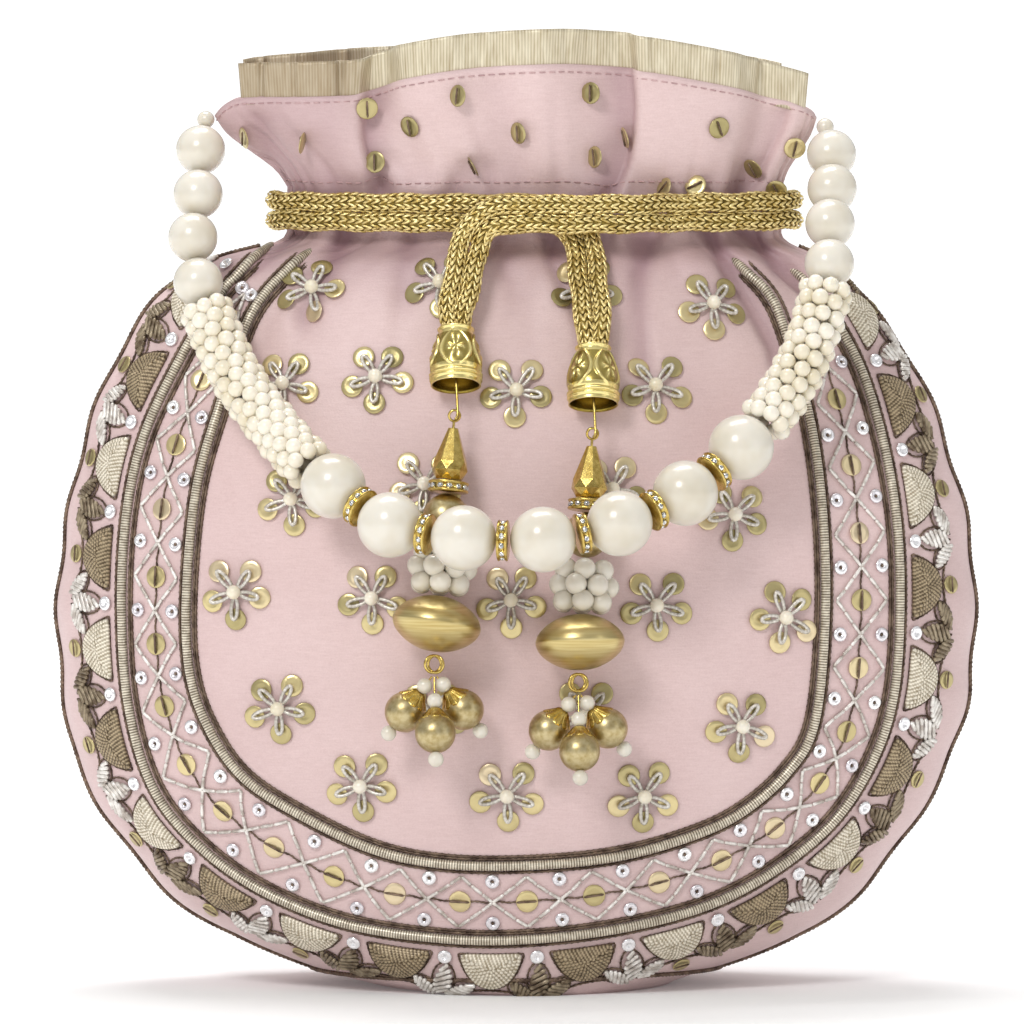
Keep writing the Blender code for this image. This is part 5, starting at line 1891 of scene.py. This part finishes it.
def surface_strip(cloth: Cloth, outer: Grid, inner: Grid, samples: int) -> Strip:
    """The front between two lines given across and up.

    Args:
        cloth: The cloth.
        outer: One line.
        inner: The other, with as many points.
        samples: Samples from one to the other.

    Returns:
        The strip, from the outer line to the inner.
    """
    points = np.zeros((len(outer), samples, 3))
    normals = np.zeros_like(points)
    for i in range(len(outer)):
        for k in range(samples):
            x, z = outer[i] + (inner[i] - outer[i]) * k / (samples - 1)
            found = cloth.seat((x, -0.2, z), (0, 1, 0))
            if found is not None:
                points[i, k], normals[i, k] = found
            else:
                points[i, k], normals[i, k] = points[i, k - 1], normals[i, k - 1]
    return Strip(points, normals)


def marched_strip(cloth: Cloth, line: Grid, reach: float, samples: int) -> Strip:
    """The front from a line given across and up outwards to the seam, measured on the cloth.

    Args:
        cloth: The cloth.
        line: The line.
        reach: How far to go, along the cloth.
        samples: Samples on the way.

    Returns:
        The strip, from the line outwards.
    """
    along = unit(np.gradient(line, axis=0))
    ways = np.stack([along[:, 1], -along[:, 0]], axis=1)
    points = np.zeros((len(line), samples, 3))
    normals = np.zeros_like(points)
    wanted = np.linspace(0, reach, samples)
    for i, (start, way) in enumerate(zip(line, ways)):
        found, outs, run = [], [], []
        for step in np.arange(0, reach * 1.1, 0.0004):
            x, z = start + way * step
            seat = cloth.seat((x, -0.2, z), (0, 1, 0))
            if seat is None or (found and seat[0][1] - found[-1][1] > 0.006):
                break
            run.append(run[-1] + float(np.linalg.norm(seat[0] - found[-1])) if found else 0.0)
            found.append(seat[0])
            outs.append(seat[1])
        found, outs = np.array(found), np.array(outs)
        for axis in range(3):
            points[i, :, axis] = np.interp(wanted, run, found[:, axis])
            normals[i, :, axis] = np.interp(wanted, run, outs[:, axis])
    return Strip(points, unit(normals))


# Handle and tassels


HANDLE_ROUTE = (
    # across, back and up, in metres
    (-0.0744, -0.0010, 0.2068), (-0.0754, -0.0060, 0.1985), (-0.0758, -0.0125, 0.1882),
    (-0.0768, -0.0190, 0.1786), (-0.0752, -0.0250, 0.1682), (-0.0713, -0.0300, 0.1576),
    (-0.0655, -0.0350, 0.1462), (-0.0576, -0.0415, 0.1360), (-0.0494, -0.0495, 0.1275),
    (-0.0420, -0.0560, 0.1218), (-0.0287, -0.0655, 0.1136), (-0.0118, -0.0718, 0.1112),
    (0.0063, -0.0735, 0.1110), (0.0238, -0.0700, 0.1144), (0.0391, -0.0620, 0.1208),
    (0.0520, -0.0540, 0.1306), (0.0606, -0.0480, 0.1400), (0.0680, -0.0432, 0.1520),
    (0.0722, -0.0384, 0.1640), (0.0742, -0.0320, 0.1744), (0.0745, -0.0238, 0.1836),
    (0.0752, -0.0145, 0.1916), (0.0752, -0.0052, 0.1995), (0.0750, -0.0010, 0.2048),
)


def ball_shape(subdivisions: int = 2) -> Shape:
    """A small round shape of radius one."""
    bm = bmesh.new()
    bmesh.ops.create_icosphere(bm, subdivisions=subdivisions, radius=1.0)
    return shape_of(bm)


@dataclass(frozen=True)
class Handle:
    """The pearl handle: large pearls and rhinestone spacers, a woven rope and medium pearls each side."""

    large: float = 0.0154
    medium: float = 0.0118
    end: float = 0.0042
    seed: float = 0.0042
    rope: float = 0.0128

    def pearl(self, node: str, down: Grid, diameter: float, rows: int, sides: int) -> None:
        """One drilled pearl in the place of its CAD node."""
        down = unit(down)
        ball = lathe(ball_profile(diameter, rows), sides)
        top = centre_of(node) - down * diameter / 2
        present(hung(node + "_lacquered", ball, top, down, PEARL), "cream_pearl", node)

    def spacer(self, node: str, along: Grid, scatter: Scatter) -> None:
        """One rhinestone spacer in the place of its CAD node."""
        present(rondelle(node + "_set", centre_of(node), unit(along), scatter), "bright_gold", node)

    def woven(self, node: str, scatter: Scatter, line: Grid) -> None:
        """One rope of seed pearls in the place of its CAD node."""
        rings = max(int(length_of(line) / 0.0030), 4)
        courses = evenly(line, rings)
        along, side, up = tube_frames(courses)
        places, outs = [], []
        rng = np.random.default_rng(11)
        for i, point in enumerate(courses):
            for k in range(8):
                a = math.tau * (k + 0.5 * (i % 2)) / 8 + rng.uniform(-0.06, 0.06)
                out = math.cos(a) * side[i] + math.sin(a) * up[i]
                slide = along[i] * rng.uniform(-0.2, 0.2) * MM
                places.append(point + out * (self.rope / 2 - self.seed * 0.42) + slide)
                outs.append(out)
        outs = np.array(outs)
        axes = frames_from(outs, np.roll(outs, 1, axis=1))
        sizes = rng.uniform(0.95, 1.03, (len(places), 1)) * np.ones(3) * self.seed / 2
        pearls = scatter.make(node + "_pearls", ball_shape(), np.array(places), axes, SEED_PEARL, sizes)
        present(pearls, "cream_pearl", node)

    def build(self, scatter: Scatter) -> None:
        """Strings the handle."""
        names = [f"large_pearl_left_{k}" for k in (3, 2, 1)] + ["large_pearl_middle"]
        names += [f"large_pearl_right_{k}" for k in (1, 2, 3)]
        centres = np.array([centre_of(name) for name in names])
        run = np.gradient(centres, axis=0)
        for name, way in zip(names, run):
            self.pearl(name, way, self.large, 40, 56)
        gaps = [("left", 3), ("left", 2), ("left", 1), ("right", 1), ("right", 2), ("right", 3)]
        for (side, k), a, b in zip(gaps, centres, centres[1:]):
            self.spacer(f"spacer_{side}_{k}", b - a, scatter)
        line = curve_through(HANDLE_ROUTE, 60)
        for side, last in ((Side.LEFT.value, centres[0]), (Side.RIGHT.value, centres[-1])):
            chain = [centre_of(f"medium_pearl_{side}_{k}") for k in (1, 2, 3, 4)]
            end = centre_of(f"end_pearl_{side}")
            ways = np.gradient(np.array([end, *chain]), axis=0)
            self.pearl(f"end_pearl_{side}", ways[0], self.end, 16, 24)
            for k in range(4):
                self.pearl(f"medium_pearl_{side}_{k + 1}", ways[k + 1], self.medium, 32, 44)
            from_top = np.linalg.norm(line - chain[-1], axis=1)
            from_low = np.linalg.norm(line - last, axis=1)
            keep = (from_top > self.medium / 2 + 0.0018) & (from_low > self.large / 2 + 0.0018)
            near, far = sorted((int(from_top.argmin()), int(from_low.argmin())))
            inside = np.arange(len(line))
            keep &= (inside > near) & (inside < far)
            self.woven(f"pearl_rope_{side}", scatter, line[keep])


def rondelle(name: str, centre: Grid, along: Grid, scatter: Scatter) -> Piece:
    """A rhinestone spacer: two gold rims and a row of stones in the groove between them."""
    width, radius = 0.0026, 0.0049
    rows = [(0.30 * radius, 0.0), (0.88 * radius, 0.0), (0.97 * radius, 0.05 * width), (radius, 0.14 * width),
            (0.97 * radius, 0.24 * width), (0.86 * radius, 0.30 * width), (0.84 * radius, 0.5 * width),
            (0.86 * radius, 0.70 * width), (0.97 * radius, 0.76 * width), (radius, 0.86 * width),
            (0.97 * radius, 0.95 * width), (0.88 * radius, width), (0.30 * radius, width)]
    rims = hung(name + "_rims", lathe(rows, 40), centre - along * width / 2, along, BRIGHT_GOLD)
    x = unit(np.cross(along, (0.0, 0.3, 1.0)))
    y = np.cross(along, x)
    angles = np.linspace(0, math.tau, 12, endpoint=False)
    outs = np.array([math.cos(a) * x + math.sin(a) * y for a in angles])
    stone = lathe([(0.10, -0.55), (0.62, -0.42), (1.0, 0.0), (0.5, 0.5)], 8)
    axes = frames_from(outs, np.repeat(along[None], 12, axis=0))
    stones = scatter.make(name + "_stones", stone, centre + outs * radius * 0.88, axes, STONE,
                          np.full((12, 3), 0.00085))
    return joined(name, [rims, stones])


@dataclass(frozen=True)
class Tassel:
    """One tassel: an embossed bell cap, a wire, a string of beads and three dangles on a ring."""

    side: Side
    across: float
    top: float
    tilt: float
    bell_height: float = 0.0144
    bell_radius: float = 0.0062
    bell_seat: float = 0.0011
    bell_top_out: float = 0.0052
    bell_foot_out: float = 0.0064
    emboss: float = 0.00052
    leaves: int = 4
    leaf_phase: float = 0.5
    gap: float = 0.00035
    cone_height: float = 0.0123
    spacer_width: float = 0.0026
    gold_bead: float = 0.0108
    cluster_height: float = 0.0128
    cluster_pearl: float = 0.0052
    saucer_radius: float = 0.0105
    saucer_height: float = 0.0130
    dangle_ball: float = 0.0096
    dangle_pearl: float = 0.0037

    BELL_OUTSIDE = (
        # radius and distance down, as shares of the bell's own
        (0.62, 0.0), (0.68, 0.012), (0.70, 0.035), (0.66, 0.060), (0.645, 0.085), (0.71, 0.17),
        (0.81, 0.31), (0.91, 0.47), (0.975, 0.61), (0.985, 0.70), (0.95, 0.765), (0.925, 0.785),
        (0.99, 0.805), (1.02, 0.83), (0.985, 0.855), (0.945, 0.868), (0.99, 0.885), (1.01, 0.905),
        (0.97, 0.93), (0.95, 0.96), (0.955, 1.0),
    )
    BELL_INSIDE = ((0.90, 1.0), (0.88, 0.94), (0.86, 0.84), (0.84, 0.70), (0.70, 0.62), (0.05, 0.61))
    SAUCER = ((0.14, 0.0), (0.30, 0.018), (0.52, 0.08), (0.725, 0.175), (0.88, 0.285), (0.955, 0.375),
              (0.985, 0.44), (1.0, 0.50), (0.985, 0.56), (0.955, 0.625), (0.88, 0.715), (0.725, 0.825),
              (0.52, 0.92), (0.30, 0.982), (0.14, 1.0))
    CONE = ((0.0012, 0.0, 0.0), (0.0040, 0.0080, 0.0), (0.0043, 0.0101, 0.5), (0.0031, 0.0122, 0.0))
    DANGLES = ((0.0003, -0.0052, -0.0136), (0.0069, 0.0018, -0.0087), (-0.0069, 0.0018, -0.0092))

    def named(self, part: str) -> str:
        """A part's CAD node."""
        return f"{self.side.value}_{part}"

    def turned(self, part: str, profile: Grid, sides: int, top: Grid, down: Grid, finish: Finish) -> Piece:
        """A bead turned about the string.

        Args:
            part: Its name.
            profile: Rows of radius and distance down.
            sides: Points round.
            top: Its top.
            down: The string's direction.
            finish: Its finish.

        Returns:
            The bead.
        """
        return hung(self.named(part) + "_made", lathe(profile, sides), top, down, finish)

    def bell(self, pouch: Pouch) -> Piece:
        """The bell cap, embossed with pointed leaves, its mouth open on the ends of the knit.

        Args:
            pouch: The bag, which the bell hangs against.

        Returns:
            The bell, which a drawstring's pair ends in.
        """
        low = self.top - self.bell_height
        above, below = (pouch.front_of(self.across, high) - self.bell_seat for high in (self.top, low))
        top = np.array([self.across, above - self.bell_top_out, self.top])
        foot = np.array([self.across, below - self.bell_foot_out, low])
        size = np.array([self.bell_radius, self.bell_height])
        outside = smooth_profile(np.array(self.BELL_OUTSIDE) * size, 90)
        profile = np.vstack([outside, smooth_profile(np.array(self.BELL_INSIDE) * size, 16)])
        down = np.clip((profile[:, 1:] / self.bell_height - 0.09) / 0.67, 0.02, 0.98)
        swell = np.sin(math.pi * down)
        shown = np.clip(swell * 4, 0, 1) * (np.arange(len(profile)) < len(outside))[:, None]

        def relief(angles: Grid, _share: Grid) -> Grid:
            """The leaves: a raised outline, a star of ribs inside, and a groove round each."""
            u = (angles / math.tau * self.leaves + self.leaf_phase) % 1 * 2 - 1
            edge = np.abs(u) / (0.95 * swell**0.62)
            line = np.exp(-(((edge - 0.90) / 0.10) ** 2))
            turn = np.arctan2((down - 0.5) * 1.5, u)
            reach = np.hypot((down - 0.5) * 1.6, u)
            ray = np.exp(-(((reach - 0.28) / 0.22) ** 2))
            star = (0.5 + 0.5 * np.cos(6 * turn)) ** 1.5 * ray * (edge < 0.85)
            return self.emboss * shown * (line + 0.85 * star)

        way = unit(foot - top)
        made = hung(self.named("bell_cap") + "_shell", lathe(profile, 150, relief), top, way, CAST_GOLD)
        # The tone is lower where the pattern is cut in and higher where it stands, and 0.8 on the plain
        # parts.
        cut = relief(np.linspace(0, math.tau, 150, endpoint=False)[None, :], down) / self.emboss
        cut = np.where(shown > 0.99, 0.15 + cut, 0.8)
        # Painted shade inside the bell's mouth.
        cut[len(outside):] = 0.05
        made.data.attributes.new("tone", "FLOAT", "POINT").data.foreach_set("value", cut.ravel())
        ends = lathe([(0.0044, 0.0092), (0.0042, 0.0102), (0.0030, 0.0114), (0.0004, 0.0118)], 60,
                     lambda a, s: 0.0004 * np.cos(9 * a + 5 * s) * (1 - s))
        knit = hung(self.named("cord_ends"), ends, top, way, LUREX)
        bell = joined(self.named("bell_cap") + "_embossed", [made, knit])
        return present(bell, "bright_gold", self.named("bell_cap"))

    def cone(self, top: Grid, down: Grid) -> Piece:
        """The cone bead: eight long facets over two rows of small ones, their edges rubbed."""
        bm = bmesh.new()
        for radius, low, phase in self.CONE:
            for k in range(8):
                a = math.tau * (k + phase + 0.25) / 8
                bm.verts.new((radius * math.cos(a), radius * math.sin(a), -low))
        bmesh.ops.convex_hull(bm, input=bm.verts[:])
        bmesh.ops.dissolve_limit(bm, angle_limit=math.radians(1.5), verts=bm.verts[:], edges=bm.edges[:])
        bmesh.ops.bevel(bm, geom=bm.edges[:], offset=0.00011, segments=2, profile=0.7, affect="EDGES")
        made = hung(self.named("cone_bead") + "_faceted", shape_of(bm), top, down, BRIGHT_GOLD)
        made.data.shade_flat()
        face_outwards(made)
        return made

    def cluster(self, middle: Grid, down: Grid, scatter: Scatter) -> Piece:
        """Three rows of pearls netted round a core."""
        x = unit(np.cross(down, (0.0, 1.0, 0.1)))
        y = np.cross(down, x)
        places = []
        for row, count, reach in ((-0.0037, 6, 0.0050), (0.0, 7, 0.0059), (0.0037, 6, 0.0050)):
            for k in range(count):
                a = math.tau * (k + (0.5 if row else 0.1)) / count
                places.append(middle + down * row + reach * (math.cos(a) * x + math.sin(a) * y))
        outs = np.array(places) - middle
        axes = frames_from(outs, np.repeat(down[None], len(outs), axis=0))
        sizes = np.full((len(outs), 3), self.cluster_pearl / 2)
        pearls = scatter.make(self.named("cluster_pearls"), ball_shape(3), np.array(places), axes, PEARL,
                              sizes)
        top = middle - down * self.cluster_height * 0.47
        rows = np.array([(0.0012, 0.0), (0.0032, 0.0008), (0.0042, 0.0060), (0.0032, 0.0112),
                         (0.0012, 0.0120)])
        core = self.turned("cluster_core", rows, 20, top, down, SEED_PEARL)
        return joined(self.named("pearl_cluster") + "_netted", [pearls, core])

    def dangle(self, number: int, apex: Grid, place: Row, thread: Thread) -> None:
        """One dangle: a wire, a small pearl, a filigree cap, a gold ball and a pearl under it.

        Args:
            number: Which of the three.
            apex: The foot of the ring.
            place: The ball's middle from there.
            thread: The tool that draws the wire.
        """
        middle = apex + np.array(place)
        slope = unit(np.array(place))
        half = self.dangle_ball / 2

        def petals(a: Grid, s: Grid) -> Grid:
            """Pierced petals round the cap's edge."""
            return 0.00035 * np.cos(8 * a) * s + 0.00015 * np.cos(24 * a) * (1 - s)

        start = apex + slope * 0.0009
        wire = thread.make(f"{self.side.value}_wire_{number}",
                           [np.linspace(start, middle - slope * half * 0.9, 8)], 0.00026, BRIGHT_GOLD,
                           groove=0.0)
        label = f"dangle_{number}"
        ball = self.turned(label + "_ball", ball_profile(self.dangle_ball, 30), 44, middle - slope * half,
                           slope, MATT_GOLD)
        rows = [(0.0006, -0.0013), (0.0013, -0.0011), (0.0021, -0.0002), (0.0031, 0.0009), (0.0037, 0.0017),
                (0.0034, 0.0019), (0.0006, 0.0012)]
        cap = lathe(smooth_profile(rows, 22), 72, petals)
        cap = hung(self.named(label) + "_filigree", cap, middle - slope * half, slope, BRIGHT_GOLD)
        small = self.dangle_pearl
        upper = self.turned(label + "_upper", ball_profile(small, 18), 26,
                            middle - slope * (half + 0.0012 + small), slope, PEARL)
        lower = self.turned(label + "_lower", ball_profile(small, 18), 26, middle + slope * (half - 0.0002),
                            slope, PEARL)
        piece = joined(self.named(label) + "_strung", [wire, ball, cap, upper, lower])
        present(piece, "matt_gold", self.named(label))

    def build(self, thread: Thread, scatter: Scatter) -> None:
        """Strings the beads between the bell and the ring, in the places of their CAD nodes.

        Args:
            thread: The tool that draws wires and rings.
            scatter: The tool that sets pearls and stones.
        """
        ball, saucer = centre_of(self.named("gold_bead")), centre_of(self.named("saucer_bead"))
        down = unit(saucer - ball)
        spacer = ball - down * (self.gold_bead / 2 + self.gap + self.spacer_width / 2)
        cone_top = spacer - down * (self.spacer_width / 2 + self.gap + self.cone_height)
        cluster = ball + down * (self.gold_bead / 2 + self.gap + self.cluster_height / 2)
        present(self.cone(cone_top, down), "bright_gold", self.named("cone_bead"))
        present(rondelle(self.named("spacer") + "_set", spacer, down, scatter), "bright_gold",
                self.named("spacer"))
        bead = self.turned("gold_bead", ball_profile(self.gold_bead, 36), 48,
                           ball - down * self.gold_bead / 2, down, MATT_GOLD)
        present(bead, "matt_gold", self.named("gold_bead"))
        present(self.cluster(cluster, down, scatter), "cream_pearl", self.named("pearl_cluster"))

        leaning = unit(down + np.array([math.tan(math.radians(self.tilt)), 0.0, 0.0]))
        rows = smooth_profile(np.array(self.SAUCER) * (self.saucer_radius, self.saucer_height), 64)
        plate = self.turned("saucer_bead", rows, 96, saucer - leaning * self.saucer_height / 2, leaning,
                            BRUSHED_GOLD)
        present(plate, "matt_gold", self.named("saucer_bead"))

        low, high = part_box(self.named("eye_pin"))
        head = np.array([(low[0] + high[0]) / 2, (low[1] + high[1]) / 2, high[2]])
        turns = np.linspace(0, math.tau, 25)
        eye = cone_top - down * 0.0030
        loop = eye + 0.0013 * np.stack([np.sin(turns), 0.12 * np.sin(turns), np.cos(turns)], axis=1)
        shaft = np.linspace(eye + down * 0.0013, cone_top + down * 0.0006, 6)
        hook = curve_through([head, eye - down * 0.0030 + (0.0004, 0, 0), eye + (0.0007, -0.0004, 0.0002),
                              eye + (0.0002, -0.0008, -0.0009)], 8)
        pin = thread.make(self.named("eye_pin") + "_bent", [loop, shaft, hook], 0.00034, BRIGHT_GOLD,
                          groove=0.0, sides=10)
        present(pin, "bright_gold", self.named("eye_pin"))

        middle = centre_of(self.named("ring"))
        rings = []
        for turn, shift in ((0.35, -0.0003), (-0.45, 0.0004)):
            way = np.array([math.cos(turn), math.sin(turn), 0.0])
            hoop = np.sin(turns)[:, None] * way + np.cos(turns)[:, None] * (0, 0, 1)
            rings.append(middle + shift * way + 0.0020 * hoop)
        ring = thread.make(self.named("ring") + "_double", rings, 0.00036, BRIGHT_GOLD, groove=0.0, sides=10)
        present(ring, "bright_gold", self.named("ring"))
        for number, place in enumerate(self.DANGLES, 1):
            self.dangle(number, middle - np.array([0, 0, 0.0022]), place, thread)


# The whole object


def main() -> None:
    """Builds the classes in order."""
    logging.basicConfig(level=logging.INFO, format="%(name)s: %(message)s")
    sight = Sight()
    sight.build()
    scatter, thread = Scatter(), Thread()
    pouch = Pouch()
    left = Tassel(Side.LEFT, -0.0142, 0.882 * pouch.shoulder, -5.0)
    right = Tassel(Side.RIGHT, 0.0182, 0.858 * pouch.shoulder, 6.0, leaf_phase=0.0)
    Drawstring(Side.LEFT, LEFT_PAIR_ROUTE).build(scatter, right.bell(pouch))
    Drawstring(Side.RIGHT, RIGHT_PAIR_ROUTE).build(scatter, left.bell(pouch))
    Studio().build()
    cloth = pouch.build()
    Ribbon().build(cloth)
    border = Border()
    border.build(pouch, cloth, thread)
    Needlework(sight, pouch, border, cloth, thread, scatter).build()
    Handle().build(scatter)
    left.build(thread, scatter)
    right.build(thread, scatter)


if __name__ == "__main__":
    main()
